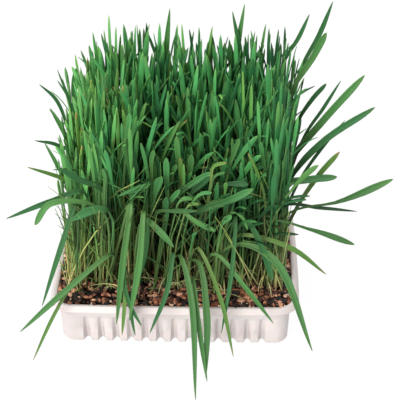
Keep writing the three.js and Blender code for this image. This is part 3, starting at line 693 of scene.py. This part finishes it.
def build_bed(material):
    """The dark bed under the grains: a rounded slab with a crumbly top."""
    half_x = RIM_LENGTH / 2 - FLANGE_INNER - BED_GAP
    half_y = RIM_DEPTH / 2 - FLANGE_INNER - BED_GAP
    corner = RIM_CORNER - FLANGE_INNER
    bm = bmesh.new()
    grid = bmesh.ops.create_grid(bm, x_segments=BED_CELLS[0], y_segments=BED_CELLS[1], size=1)
    for vert in grid["verts"]:
        x, y = vert.co.x * half_x, vert.co.y * half_y
        dx, dy = abs(x) - (half_x - corner), abs(y) - (half_y - corner)
        if dx > 0 and dy > 0:
            squeeze = max(dx, dy) / math.hypot(dx, dy)
            x = math.copysign(half_x - corner + dx * squeeze, x)
            y = math.copysign(half_y - corner + dy * squeeze, y)
        x, y = bowed(x, y)
        lump = noise.noise(Vector((x, y, 0)) / LUMP_SIZE) * LUMP_HEIGHT
        vert.co = (x, y, ground_height(x, y) - BED_DROP + lump)
    rim = [edge for edge in bm.edges if edge.is_boundary]
    below = bmesh.ops.extrude_edge_only(bm, edges=rim)
    for item in below["geom"]:
        if isinstance(item, bmesh.types.BMVert):
            item.co = (item.co.x * BED_TAPER[0], item.co.y * BED_TAPER[1], GROUND - BED_DEPTH)
    bmesh.ops.contextual_create(bm, geom=[edge for edge in bm.edges if edge.is_boundary])
    bmesh.ops.recalc_face_normals(bm, faces=bm.faces)
    for face in bm.faces:
        face.smooth = True
    return piece_from(bm, "bark_bed", material, ["growing_medium"])


def add_grain(bm, tone_layer, draw, half_x, half_y):
    """One chip: a small bumpy lump, longer than it is wide, at a random place."""
    x, y = (draw() * 2 - 1) * half_x, (draw() * 2 - 1) * half_y
    if edge_room(x, y) < GRAIN_ROOM:
        return
    size = lerp(*GRAIN_SIZE, draw() ** 1.5)
    length = lerp(*GRAIN_LENGTH, draw() ** 2)
    width, thickness = GRAIN_FLATNESS
    turn = Matrix.Rotation(draw() * GRAIN_TURN, 4, "Z")
    turn = turn @ Matrix.Rotation((draw() - 0.5) * GRAIN_TILT, 4, "X")
    made = bmesh.ops.create_icosphere(bm, subdivisions=1, radius=1)
    tone = min(max(draw() ** 1.3 + (draw() - 0.5) * GRAIN_TONE_SPREAD, 0.0), 1.0)
    height = ground_height(x, y) + size * lerp(*GRAIN_LIFT, draw())
    x, y = bowed(x, y)
    for vert in made["verts"]:
        bumpy = 1 + GRAIN_BUMPS * (draw() - 0.5)
        lump = Vector((vert.co.x * length, vert.co.y * width, vert.co.z * thickness)) * size * bumpy
        lump = turn @ lump
        vert.co = (x + lump.x, y + lump.y, height + lump.z)
        vert[tone_layer] = tone


def build_grains(material):
    """Loose chips and grit on the bed, each a small lump with its own tone."""
    draw = seeded_draw(GRAIN_SEED)
    half_x = RIM_LENGTH / 2 - FLANGE_INNER
    half_y = RIM_DEPTH / 2 - FLANGE_INNER
    grains = bmesh.new()
    grains.verts.layers.float.new("tone")
    for _ in range(GRAIN_BATCHES):
        batch = bmesh.new()
        tone_layer = batch.verts.layers.float.new("tone")
        for _ in range(GRAIN_COUNT // GRAIN_BATCHES):
            add_grain(batch, tone_layer, draw, half_x, half_y)
        mesh = bpy.data.meshes.new("batch")
        batch.to_mesh(mesh)
        batch.free()
        grains.from_mesh(mesh)
        bpy.data.meshes.remove(mesh)
    return piece_from(grains, "bark_grains", material, ["growing_medium"])


# ---- grass ------------------------------------------------------------------------

def tuft_centres():
    draw = seeded_draw(TUFT_PLACES_SEED)
    centres = []
    for row in range(TUFT_ROWS):
        for column in range(TUFT_COLUMNS):
            x = (column - (TUFT_COLUMNS - 1) / 2) * TUFT_PITCH_X + (draw() - 0.5) * 2 * TUFT_JITTER
            y = STAND_BACK + (row - (TUFT_ROWS - 1) / 2) * TUFT_PITCH_Y + (draw() - 0.5) * 2 * TUFT_JITTER
            centres.append((x, y))
    return centres


def within(place, x, y):
    """1 inside a place of the stand and 0 outside it, with a soft edge."""
    return smooth(*place["y"], y) * (1 - smooth(*place["reach"], abs(x - place["x"])))


def stand_at(x, y):
    """How blades stand at a place: lowest in the middle and right of the front."""
    front = smooth(*FRONT["y"], y)
    back = smooth(*BACK["y"], y)
    low = within(LOW_PLACE, x, y)
    end = min(abs(x / STAND_END), 1.0) ** 3
    lift = LEAF_LIFT["share"] * max(smooth(*LEAF_LIFT["y"], y), end)
    left_drop = 1 - LEFT_END["drop"] * smooth(*LEFT_END["x"], x)
    height = TALL * (1 + BACK["rise"] * back) * (1 - FRONT["drop"] * front) * left_drop
    return {
        "fallen": LOW_PLACE["fallen"] * low,
        "missing": OPEN_PLACE["missing"] * within(OPEN_PLACE, x, y),
        "loose": 1 - END_CALM * end,
        "low": low,
        "x": (RIGHT_END_LEAN if x > 0 else LEFT_END["lean"]) * end,
        "y": BACK["lean"] * back + FRONT["lean"] * front,
        "ripe": LEFT_RIPE["share"] * smooth(*LEFT_RIPE["x"], x),
        "light": LEFT_LIGHT["share"] * smooth(*LEFT_LIGHT["x"], x),
        "leaf": tuple(stop + lift for stop in STAND_LEAF),
        "height": height * (1 - LOW_PLACE["drop"] * low),
    }


def root_places(centre, draw):
    """Where a tuft's blades leave its root block: a jittered grid of places."""
    places = []

    def place(slot, across, size):
        cell = (size - 2 * ROOT_MARGIN) / across
        return (slot - (across - 1) / 2 + (draw() - 0.5) * ROOT_LOOSENESS) * cell

    columns, rows = BLADES_ACROSS
    for k in range(columns * rows):
        dx = place(k % columns, columns, ROOT_BLOCK[0])
        dy = place(k // columns, rows, ROOT_BLOCK[1])
        places.append({"x": centre[0] + dx, "y": centre[1] + dy, "dx": dx, "dy": dy, "taken": False})
    return places


class Arc:
    """A quadratic curve from a root, up its stem and over to its tip."""

    def __init__(self, root, bend, tip):
        self.points = (Vector(root), Vector(bend), Vector(tip))

    def at(self, t):
        a, b, c = self.points
        return a * (1 - t) ** 2 + b * (2 * t * (1 - t)) + c * t ** 2


class Route:
    """A smooth curve through its points, its speed set by the square root of their gaps."""

    def __init__(self, points):
        self.points = [Vector(point) for point in points]

    def at(self, t):
        points = self.points
        last = len(points) - 1
        place = t * last
        k = min(int(place), last - 1)
        weight = place - k
        p1, p2 = points[k], points[k + 1]
        p0 = points[k - 1] if k > 0 else p1 * 2 - p2
        p3 = points[k + 2] if k + 2 <= last else p2 * 2 - p1
        d0, d1, d2 = ((b - a).length ** 0.5 for a, b in ((p0, p1), (p1, p2), (p2, p3)))
        t1 = ((p1 - p0) / d0 - (p2 - p0) / (d0 + d1) + (p2 - p1) / d1) * d1
        t2 = ((p2 - p1) / d1 - (p3 - p1) / (d1 + d2) + (p3 - p2) / d2) * d1
        c2 = (p2 - p1) * 3 - t1 * 2 - t2
        c3 = (p1 - p2) * 2 + t1 + t2
        return p1 + t1 * weight + c2 * weight ** 2 + c3 * weight ** 3


def width_at(t, stem_share, leaf, point):
    """A narrow stem that widens to an even leaf, which ends in its point."""
    start, bluntness = point
    end = max(t - start, 0.0) / (1 - start)
    return lerp(stem_share, 1.0, smooth(*leaf, t)) * max(1 - end ** bluntness, 0.0) ** POINT_CURVE


class TuftMesh:
    """Collects one tuft's leaves in one mesh, with the values that their finish reads."""

    def __init__(self):
        self.bm = bmesh.new()
        layers = self.bm.verts.layers.float
        self.layers = {name: layers.new(name) for name in ("tone", "ripe", "along", "across", "deep")}

    def leaf(self, curve, across, width, tone, ripe, stops=LEAF_STOPS, columns=2, twist=0.0,
             widens=STAND_LEAF, point=STAND_POINT, stem=STEM_WIDTH, green=1.0):
        rows = len(stops) - 1
        grid = bmesh.ops.create_grid(self.bm, x_segments=columns, y_segments=rows, size=1)
        verts = grid["verts"]
        stem_share = min(stem / width, 1.0)
        foot = curve.at(0)
        # how much painted shade this blade gets, from where its foot stands
        depth = painted_shade_at(foot.x, foot.y)
        for row, t in enumerate(stops):
            centre = curve.at(t)
            tangent = (curve.at(min(t + 0.01, 1.0)) - curve.at(max(t - 0.01, 0.0))).normalized()
            side = (across - tangent * across.dot(tangent)).normalized()
            if twist:
                side = Matrix.Rotation(twist * (t - 0.5), 3, tangent) @ side
            face = side.cross(tangent)
            half = max(width * width_at(t, stem_share, widens, point) / 2, LEAST_HALF)
            fold = half * lerp(*LEAF_FOLD, smooth(*widens, t))
            # painted shade, fading out higher above the medium
            deep = depth * (1 - smooth(*SHADE_HEIGHT, centre.z - GROUND))
            for column in range(columns + 1):
                u = column / columns * 2 - 1
                vert = verts[row * (columns + 1) + column]
                vert.co = centre + side * (half * u) + face * (fold * (abs(u) ** 1.5 - 0.5))
                vert[self.layers["tone"]] = tone
                vert[self.layers["ripe"]] = ripe
                vert[self.layers["along"]] = t * green
                vert[self.layers["across"]] = u
                vert[self.layers["deep"]] = deep

    def finish(self, name, material, node):
        for face in self.bm.faces:
            face.smooth = True
        piece = piece_from(self.bm, name, material, [node])
        thick = piece.modifiers.new("leaf_thickness", "SOLIDIFY")
        thick.thickness = LEAF_THICKNESS * MM
        thick.offset = 0.0
        return piece


def level(angle):
    return Vector((math.cos(angle), math.sin(angle), 0.0))


def painted_shade_at(x, y):
    """How much painted shade a stem gets: 0 at the edge of the planted ground and 1 well inside it, or less
    at the left.
    """
    left, right, front, back = PLANTED
    shade = smooth(*SHADE_DEPTH, min(x - left, right - x, y - front, back - y))
    return shade * (1 - LEFT_SHADE["drop"] * smooth(*LEFT_SHADE["x"], x))


# Where the broad side of a long or a fallen blade faces: to the front and up.
BROAD_SIDE = Vector((0, -0.83, 0.56))


def stand_blade(root, draw):
    """The rule for one blade of the stand: its curve, its width's direction and its width."""
    stand = stand_at(root["x"], root["y"])
    stray_x = (draw() - 0.5) * TIP_SPREAD
    stray_y = (draw() - 0.5) * TIP_SPREAD
    share = draw()
    turn = (draw() - 0.5) * TURN
    width = LEAF_WIDTH * lerp(*WIDTH_RANGE, draw())
    fate = draw()
    bend_share = draw()
    if fate > 1 - stand["missing"]:
        return None
    foot = Vector((root["x"], root["y"], GROUND))
    if fate < stand["fallen"]:
        rise = lerp(*FALLEN["bend"], bend_share)
        over = level(turn + FALLEN["turn"]) * lerp(*FALLEN["reach"], share)
        end = over + Vector((0, 0, rise * lerp(*FALLEN["rise"], share)))
        bend = over * FALLEN["over"] + Vector((0, 0, rise * FALLEN["up"]))
        curve = Arc(foot - Vector((0, 0, SINK)), foot + bend, foot + end)
        return curve, end.cross(BROAD_SIDE).normalized(), width
    x = root["dx"] * FAN + stand["x"] + stray_x * stand["loose"]
    y = root["dy"] * FAN + stand["y"] + stray_y
    height = stand["height"] * lerp(*UPRIGHT, share)
    out, up = BEND_OUT
    curve = Arc(
        foot - Vector((0, 0, SINK)),
        foot + Vector((x * out, y * out, height * up)),
        foot + Vector((x, y, height)),
    )
    return curve, level(turn), width


# Long blades that stand out of the stand: root, two places that they pass, tip, width,
# the kind of point and the finish.
LONG_BLADES = (
    # over the left end
    ((-80, 22), (-84, 22, 138), (-91, 20, 166), (-102, 16, 181), 2.9, "fine", "dark"),
    ((-78, 38), (-79, 38, 100), (-82, 38, 147), (-91, 36, 183), 2.7, "fine", "dark"),
    ((-70, 46), (-74, 46, 100), (-81, 46, 156), (-78, 44, 180), 4.5, "strap", "bright"),
    ((-83, 4), (-79, 2, 128), (-85, -1, 154), (-92, -4, 172), 3.7, "fine", "fresh"),
    ((-81, -14), (-75, -14, 137), (-88, -18, 150), (-102, -22, 155), 3.4, "fine", "dark"),
    ((-80, -26), (-79, -30, 117), (-85, -34, 142), (-92, -38, 163), 3.0, "fine", "fresh"),
    ((-76, -24), (-67, -32, 121), (-83, -38, 134), (-105, -44, 146), 3.4, "fine", "olive"),
    ((-44, -34), (-50, -50, 130), (-67, -58, 146), (-79, -64, 159), 5.8, "taper", "dark"),
    ((-66, -42), (-64, -54, 132), (-87, -64, 130), (-117, -76, 123), 3.9, "fine", "dark"),
    ((-52, -46), (-52, -58, 120), (-86, -68, 131), (-98, -72, 115), 4.6, "round", "fresh"),
    ((-50, -52), (-46, -63, 122), (-58, -69, 126), (-72, -75, 121), 6.3, "taper", "dark"),
    ((-74, -50), (-70, -54, 122), (-80, -66, 96), (-97, -80, 47), 4.3, "fine", "dark"),
    ((-46, -56), (-45, -66, 86), (-79, -84, 64), (-111, -100, 39), 4.5, "fine", "fresh"),
    ((-78, -60), (-73, -70, 64), (-88, -86, 43), (-104, -98, 10), 2.6, "fine", "olive"),
    # over the front rim
    ((-44, -50), (-30, -62, 128), (-36, -74, 85), (-42, -84, 34), 5.0, "fine", "fresh"),
    ((-30, -50), (-21, -62, 121), (-24, -76, 86), (-32, -88, 41), 5.1, "fine", "fresh"),
    ((-24, -46), (-18, -58, 113), (-20, -66, 90), (-26, -72, 64), 4.0, "fine", "bright"),
    ((-32, -60), (-37, -70, 82), (-33, -80, 54), (-23, -88, 36), 3.2, "fine", "dark"),
    ((-38, -61), (-35, -72, 65), (-36, -82, 46), (-38, -87, 26), 2.7, "fine", "olive"),
    ((-20, -61), (-29, -70, 60), (-31, -80, 42), (-28, -88, 27), 2.6, "fine", "dark"),
    ((-8, -52), (0, -66, 88), (-4, -80, 64), (-17, -90, 31), 3.7, "fine", "dark"),
    ((-4, -54), (5, -66, 85), (14, -88, 62), (18, -133, 6), 4.8, "fine", "fresh"),
    ((8, -58), (15, -74, 69), (20, -98, 42), (26, -118, 10), 3.7, "fine", "fresh"),
    ((-2, -48), (18, -66, 80), (25, -90, 52), (25, -116, 12), 5.4, "fine", "fresh"),
    ((38, -48), (45, -56, 114), (43, -72, 77), (36, -90, 32), 3.2, "fine", "dark"),
    ((8, -50), (18, -60, 88), (35, -80, 57), (45, -104, 22), 3.2, "fine", "olive"),
    ((14, -50), (31, -62, 84), (53, -78, 66), (74, -88, 41), 3.5, "fine", "fresh"),
    ((20, -46), (49, -60, 92), (75, -72, 85), (102, -108, 32), 5.9, "fine", "fresh"),
    ((36, -54), (53, -60, 112), (64, -66, 95), (73, -72, 68), 4.5, "round", "dark"),
    # over the right end
    ((34, -44), (46, -50, 92), (85, -62, 91), (112, -70, 73), 3.8, "fine", "olive"),
    ((62, -40), (69, -44, 101), (101, -52, 100), (132, -60, 93), 4.4, "spoon", "fresh"),
    ((74, -30), (81, -32, 107), (107, -38, 110), (134, -42, 110), 2.6, "fine", "dark"),
    ((58, -34), (84, -40, 106), (120, -47, 122), (156, -52, 145), 5.2, "spoon", "fresh"),
    ((54, -20), (65, -24, 116), (97, -28, 128), (119, -30, 132), 5.2, "strap", "bright"),
    ((78, -16), (90, -18, 92), (106, -22, 128), (120, -24, 150), 3.8, "round", "olive"),
    ((76, 2), (92, 0, 104), (109, -4, 141), (124, -8, 167), 2.6, "fine", "dark"),
    ((74, -8), (86, -10, 116), (108, -14, 152), (143, -20, 185), 4.8, "strap", "dark"),
    ((70, 12), (86, 12, 116), (110, 8, 158), (137, 4, 198), 5.2, "strap", "fresh"),
    ((80, 16), (96, 16, 136), (110, 14, 165), (121, 12, 189), 2.6, "fine", "dark"),
    ((78, 28), (91, 28, 141), (102, 28, 164), (112, 26, 179), 3.4, "round", "dark"),
    ((68, 36), (87, 36, 166), (102, 34, 198), (110, 32, 218), 4.8, "strap", "fresh"),
    ((72, 48), (93, 46, 178), (106, 42, 212), (114, 40, 239), 3.7, "fine", "dark"),
    ((62, 54), (81, 52, 183), (91, 48, 206), (98, 46, 226), 3.2, "fine", "dark"),
    # above the back
    ((-16, 58), (-12, 58, 120), (-10, 58, 181), (-6, 56, 225), 4.8, "fine", "fresh"),
    ((30, 56), (38, 56, 120), (44, 56, 183), (50, 54, 230), 4.6, "fine", "fresh"),
    ((34, 60), (46, 54, 125), (48, 53, 184), (41, 52, 225), 4.3, "fine", "dark"),
    # across the parting
    ((-22, -26), (4, -42, 123), (17, -46, 138), (28, -48, 146), 4.5, "round", "bright"),
    ((-2, -34), (13, -52, 111), (38, -60, 129), (57, -64, 143), 5.3, "round", "bright"),
    ((26, -14), (47, -24, 110), (58, -28, 136), (73, -32, 147), 5.0, "round", "bright"),
    ((-20, -38), (-12, -54, 115), (3, -62, 122), (18, -66, 125), 3.8, "fine", "fresh"),
    ((-28, -42), (-21, -56, 110), (-9, -66, 106), (1, -72, 97), 5.0, "fine", "fresh"),
    ((-30, 0), (-19, -4, 137), (-5, -8, 152), (9, -10, 167), 3.5, "fine", "olive"),
)

# Shorter blades that have fallen over the parting or end among the others.
SHORT_BLADES = (
    ((-30, -34), (-14, -47, 121), (-12, -49, 132), (-8, -51, 144), 5.0, "round", "bright"),
    ((-12, -30), (-5, -41, 113), (-5, -43, 138), (-5, -43, 155), 4.6, "round", "bright"),
    ((-2, -30), (10, -45, 122), (19, -47, 134), (26, -49, 143), 4.4, "round", "dark"),
    ((-16, -40), (-4, -51, 119), (-1, -53, 126), (5, -54, 135), 4.0, "round", "bright"),
    ((-8, -44), (3, -57, 123), (8, -58, 130), (14, -57, 129), 3.0, "round", "fresh"),
    ((2, -44), (14, -57, 126), (21, -57, 134), (28, -56, 134), 2.6, "round", "bright"),
    ((-4, -46), (9, -59, 120), (13, -59, 126), (19, -59, 126), 2.2, "round", "olive"),
    ((-16, -44), (-4, -55, 113), (-5, -55, 120), (-5, -55, 129), 4.2, "round", "dark"),
    ((-30, -26), (-19, -37, 128), (-20, -39, 147), (-23, -40, 165), 2.8, "round", "bright"),
    ((-36, -28), (-26, -39, 135), (-28, -40, 150), (-30, -41, 161), 4.0, "round", "dark"),
    ((-24, -26), (-16, -37, 134), (-16, -38, 149), (-14, -38, 158), 3.6, "round", "fresh"),
    ((-10, -26), (-2, -37, 131), (-1, -38, 139), (2, -38, 146), 3.6, "round", "fresh"),
    ((4, -26), (11, -35, 130), (12, -36, 142), (13, -37, 154), 4.6, "round", "fresh"),
    ((-4, -20), (4, -31, 129), (3, -32, 148), (2, -33, 167), 4.2, "round", "fresh"),
    ((0, -28), (6, -37, 127), (5, -38, 139), (5, -39, 152), 3.2, "round", "olive"),
    ((-24, -36), (-16, -47, 136), (-23, -51, 133), (-35, -55, 131), 1.7, "round", "bright"),
    ((-28, -38), (-19, -49, 137), (-25, -52, 132), (-31, -55, 126), 1.5, "round", "bright"),
    ((-30, -38), (-21, -49, 135), (-29, -53, 134), (-39, -56, 130), 1.7, "round", "bright"),
    ((-6, -34), (4, -43, 128), (12, -44, 132), (19, -45, 135), 4.6, "round", "dark"),
    ((-6, -46), (6, -59, 119), (16, -63, 114), (31, -67, 108), 3.8, "round", "fresh"),
    ((18, -40), (28, -51, 141), (31, -51, 146), (37, -51, 148), 2.0, "round", "fresh"),
    ((16, -40), (27, -51, 139), (29, -52, 154), (38, -52, 157), 2.6, "round", "olive"),
    ((22, -38), (35, -49, 135), (44, -50, 138), (54, -51, 138), 4.2, "round", "dark"),
    ((10, -40), (23, -53, 121), (35, -54, 126), (48, -55, 132), 3.4, "round", "fresh"),
    ((36, -44), (44, -55, 126), (50, -55, 129), (57, -55, 131), 2.2, "round", "dark"),
    ((30, -50), (35, -61, 109), (38, -61, 114), (42, -61, 118), 4.4, "round", "bright"),
    ((62, -36), (67, -47, 117), (61, -47, 143), (53, -47, 162), 2.0, "round", "olive"),
    ((56, -24), (66, -33, 139), (64, -34, 151), (62, -35, 164), 3.4, "round", "bright"),
    ((32, -46), (42, -57, 118), (49, -60, 117), (54, -63, 107), 2.6, "round", "fresh"),
    ((30, -20), (39, -31, 135), (43, -32, 152), (47, -33, 165), 3.6, "round", "fresh"),
    ((-44, -30), (-33, -41, 168), (-31, -42, 180), (-30, -42, 190), 3.8, "round", "bright"),
    ((-62, -40), (-52, -51, 153), (-53, -52, 163), (-53, -52, 172), 3.0, "round", "bright"),
    ((-56, -42), (-47, -53, 146), (-47, -54, 156), (-47, -54, 167), 3.0, "round", "bright"),
    ((-58, -46), (-49, -56, 136), (-48, -57, 146), (-49, -57, 154), 2.8, "round", "fresh"),
    ((-46, -26), (-37, -37, 157), (-35, -38, 168), (-34, -38, 178), 3.2, "round", "fresh"),
)

KINDS = {                         # where the leaf widens, if not as usual, and its point
    "round": (None, ROUND_POINT),
    "fine": (None, FINE_POINT),
    "taper": (None, TAPER_POINT),
    "strap": (STRAP_LEAF, ROUND_POINT),
    "spoon": (SPOON_LEAF, ROUND_POINT),
}
FINISHES = {                      # tone and ripeness
    "dark": (0.14, 0.14),
    "fresh": (0.30, 0.34),
    "bright": (0.46, 0.16),
    "olive": (0.3, 0.75),
}


def take_root(places, root):
    """The free place nearest to a root, which is then taken."""
    free = [place for place in places if not place["taken"]]
    nearest = min(free, key=lambda place: math.hypot(place["x"] - root[0], place["y"] - root[1]))
    nearest["taken"] = True
    return nearest


def long_across(root, second, tip):
    """A long blade's width: square to its lean, or to its leaf where that runs along the width."""
    lean = Vector((tip[0] - root[0], tip[1] - root[1], tip[2] - GROUND))
    across = lean.cross(BROAD_SIDE).normalized()
    run = (Vector(tip) - Vector(second)).normalized()
    return run.cross(BROAD_SIDE).normalized() if abs(across.dot(run)) > LEAF_RUN_LIMIT else across


def plant_route(tuft, root, blade, draw, widens, stops):
    """One blade along a route of its own, its broad side to the front and up."""
    _, first, second, tip, width, kind, finish = blade
    own, point = KINDS[kind]
    curve = Route([(*root, GROUND - SINK), (*root, GROUND + COLLAR), first, second, tip])
    tone, ripe = FINISHES[finish]
    tuft.leaf(
        curve, long_across(root, second, tip), width, tone + LONG_TONES * (draw() - 0.5), ripe,
        stops=stops, columns=LONG_COLUMNS, twist=(draw() - 0.5) * LONG_TWIST,
        widens=own or widens, point=point, stem=LONG_STEM)


def plant_routes(tufts, places, centres, draw):
    """The long and the short blades, each along its own route."""
    for blade in LONG_BLADES:
        place = take_root(places, blade[0])
        root = (place["x"], place["y"])
        plant_route(tufts[place["home"]], root, blade, draw, LONG_LEAF, LONG_STOPS)
    for blade in SHORT_BLADES:
        home = home_of(centres, *blade[0])
        plant_route(tufts[home], blade[0], blade, draw, SHORT_LEAF, SHORT_STOPS)


def home_of(centres, x, y):
    """The tuft that a root belongs to: the nearest one."""
    return min(range(len(centres)), key=lambda k: math.hypot(centres[k][0] - x, centres[k][1] - y))


def plant_stand(tufts, places, draws, draw):
    """The tufts' own upright and fallen blades, by the stand's rule."""
    for place in places:
        blade = stand_blade(place, draws[place["home"]])
        tone, ripe, twist = draw(), draw(), draw() - 0.5
        if blade and not place["taken"]:
            curve, across, width = blade
            stand = stand_at(place["x"], place["y"])
            tufts[place["home"]].leaf(
                curve, across, width, tone + stand["light"], stand["ripe"] + RIPER * ripe ** 5,
                twist=twist, widens=stand["leaf"])


def in_parting(x, y):
    """Whether a point lies in one of the stand's thin places."""
    return any(math.hypot(x - px, y - py) < radius for px, py, radius in PARTINGS)


def filling_blade(x, y, draw):
    """A blade between the tufts' own. Its leaf turns away from its stem, a little or a lot."""
    stand = stand_at(x, y)
    least, most = FILL_HEIGHT
    height = stand["height"] * lerp(lerp(least, FILL_LOW, stand["low"]), most, math.sqrt(draw()))
    stray = level(draw() * math.tau) * (FILL_SPREAD * draw() * stand["loose"] ** 2)
    lean = Vector((stand["x"], stand["y"], 0)) + stray
    foot = Vector((x, y, GROUND - SINK))
    nod = draw() ** lerp(*FILL_NOD, stand["low"]) * stand["loose"]
    way = draw()
    if draw() < FILL_SIDEWAYS * stand["low"]:
        over = level(FALLEN["turn"] + (way - 0.5) * FILL_FAN) * lerp(*FILL_SIDE_OVER, nod)
    else:
        over = level(way * math.tau) * lerp(*FILL_OVER, nod)
    if y + lean.y + over.y > BACK_REACH:
        lean.y, over.y = -lean.y, -over.y
    across, *up = FILL_BEND
    bend = foot + lean * across + Vector((0, 0, height * lerp(*up, nod)))
    tip = foot + lean + over + Vector((0, 0, height * lerp(*FILL_TIP, nod)))
    facing = (draw() - 0.5) * FILL_TURN
    if nod > FILL_NODDING:
        facing = math.atan2(over.y, over.x) + math.pi / 2
    return Arc(foot, bend, tip), level(facing)


def filling_ground(home, centre):
    """The ground that one tuft's filling covers: its share of the planted ground."""
    left, right, front, back = PLANTED
    row, column = divmod(home, TUFT_COLUMNS)
    low_x = left if column == 0 else centre[0] - TUFT_PITCH_X / 2
    high_x = right if column == TUFT_COLUMNS - 1 else centre[0] + TUFT_PITCH_X / 2
    low_y = front + FILL_FRONT if row == 0 else centre[1] - TUFT_PITCH_Y / 2
    high_y = back if row == TUFT_ROWS - 1 else centre[1] + TUFT_PITCH_Y / 2
    return (low_x, high_x), (low_y, high_y)


def plant_filling(tufts, centres):
    """The rest of the stand, evenly over the planted ground, round the tufts' own blades."""
    half_length = PLANTED[1]
    for home, centre in enumerate(centres):
        draw = seeded_draw(FILL_SEED + home)
        span_x, span_y = filling_ground(home, centre)
        for _ in range(FILL_PER_TUFT):
            x, y = lerp(*span_x, draw()), lerp(*span_y, draw())
            tone, ripe, twist, wide, thin = draw(), draw(), draw() - 0.5, draw(), draw()
            curve, across = filling_blade(x, y, draw)
            stand = stand_at(x, y)
            gaps = FILL_GAPS["open"] * stand["missing"] + FILL_GAPS["front"] * smooth(*FILL_GAPS["y"], y)
            if edge_room(x, y) < FILL_ROOM or in_parting(x, y) or thin < gaps:
                continue
            outward = (x / half_length) ** 2
            tufts[home].leaf(
                curve, across, LEAF_WIDTH * lerp(*FILL_WIDTH, wide) * (1 - FILL_NARROWER * outward),
                tone + stand["light"], stand["ripe"] + FILL_RIPER * ripe ** 5, twist=twist * FILL_TWIST,
                widens=[stop + FILL_LIFT * outward for stop in stand["leaf"]])


def add_stalk(tuft, curve, facing, width, tone, ripe, green):
    """A thin stem without a leaf."""
    tuft.leaf(
        curve, facing, STALK_WIDTH * width, tone, ripe, stops=STALK_STOPS, columns=1,
        widens=(0, 1), point=STALK_POINT, stem=STALK_WIDTH, green=green)


def stalk_root(k, draw):
    """Where a stalk stands: of every five, three near the front, one near an end, one near the back."""
    left, right, front, back = PLANTED
    inward = draw() ** 1.2
    if k % 5 < 3:
        near, far = STALK_FRONT
        return lerp(left, right, draw()), lerp(front + near, front + far, inward)
    if k % 5 == 3:
        edge, inside = (left, left + STALK_END) if draw() < 0.5 else (right, right - STALK_END)
        return lerp(edge, inside, inward), lerp(front, back, draw())
    return lerp(left, right, draw()), lerp(back, back - STALK_BACK, inward)


def plant_stalks(tufts, centres):
    """Thin bare stalks round the edge of the stand, leaning every way."""
    draw = seeded_draw(STALK_SEED)
    for k in range(STALK_COUNT):
        x, y = stalk_root(k, draw)
        height = lerp(*STALK_HEIGHT, draw())
        reach = height * lerp(*STALK_REACH, draw() ** 1.3)
        way = level(draw() * math.tau) * reach
        if y + way.y > BACK_REACH:
            way.y = -way.y
        tone, ripe = lerp(*STALK_TONE, draw()), draw() ** 2
        foot = Vector((x, y, GROUND - SINK))
        tip = foot + way + Vector((0, 0, height))
        least, most, up = STALK_BEND
        bend = foot + way * lerp(least, most, draw()) + Vector((0, 0, height * up))
        facing, width, green, thin = level(draw() * math.pi), lerp(*STALK_WIDTHS, draw()), draw(), draw()
        stand = stand_at(x, y)
        kept = thin > STALK_GAPS * stand["missing"]
        if kept and edge_room(x, y) > STALK_ROOM and abs(tip.x) < STALK_BOUND:
            add_stalk(
                tufts[home_of(centres, x, y)], Arc(foot, bend, tip), facing, width,
                tone + stand["light"], ripe, lerp(*STALK_GREEN, green))


def plant_straws(tufts, centres):
    """Bent stalks that lie over the medium in front of the stand."""
    draw = seeded_draw(STRAW_SEED)
    left, right, front, _ = PLANTED
    near, far = STRAW_FRONT
    root_room, end_room = STRAW_ROOM
    for _ in range(STRAW_COUNT):
        x, y = lerp(left, right, draw()), lerp(front + near, front + far, draw())
        way = level(draw() * math.tau) * lerp(*STRAW_REACH, draw())
        foot = Vector((x, y, GROUND - STRAW_SINK))
        rise = lerp(*STRAW_RISE, draw() ** 1.5)
        bend = foot + way * lerp(*STRAW_BEND, draw()) + Vector((0, 0, rise))
        end = foot + way + Vector((0, 0, rise * lerp(*STRAW_TIP, draw())))
        tone, ripe, facing = lerp(*STRAW_TONE, draw()), draw(), level(draw() * math.tau)
        if edge_room(x, y) > root_room and edge_room(end.x, end.y) > end_room:
            add_stalk(
                tufts[home_of(centres, x, y)], Arc(foot, bend, end), facing, STRAW_WIDTH,
                tone, ripe, lerp(*STRAW_GREEN, draw()))


def build_grass(material):
    centres = tuft_centres()
    draws = [seeded_draw(BLADE_SEED + home) for home in range(len(centres))]
    places = []
    for home, centre in enumerate(centres):
        for place in root_places(centre, draws[home]):
            place["home"] = home
            places.append(place)
    tufts = [TuftMesh() for _ in centres]
    finish_draw = seeded_draw(FINISH_SEED)
    plant_routes(tufts, places, centres, finish_draw)
    plant_stand(tufts, places, draws, finish_draw)
    plant_filling(tufts, centres)
    plant_stalks(tufts, centres)
    plant_straws(tufts, centres)
    for home, tuft in enumerate(tufts):
        number = f"{home + 1:02d}"
        tuft.finish(f"wheatgrass_{number}", material, f"grass_tuft_{number}")


# ---- build -------------------------------------------------------------------------

set_camera()
set_light()
lay_floor()
build_tray(tray_plastic())
build_bed(dark_bark())
build_grains(grain_finish())
build_grass(leaf_finish())
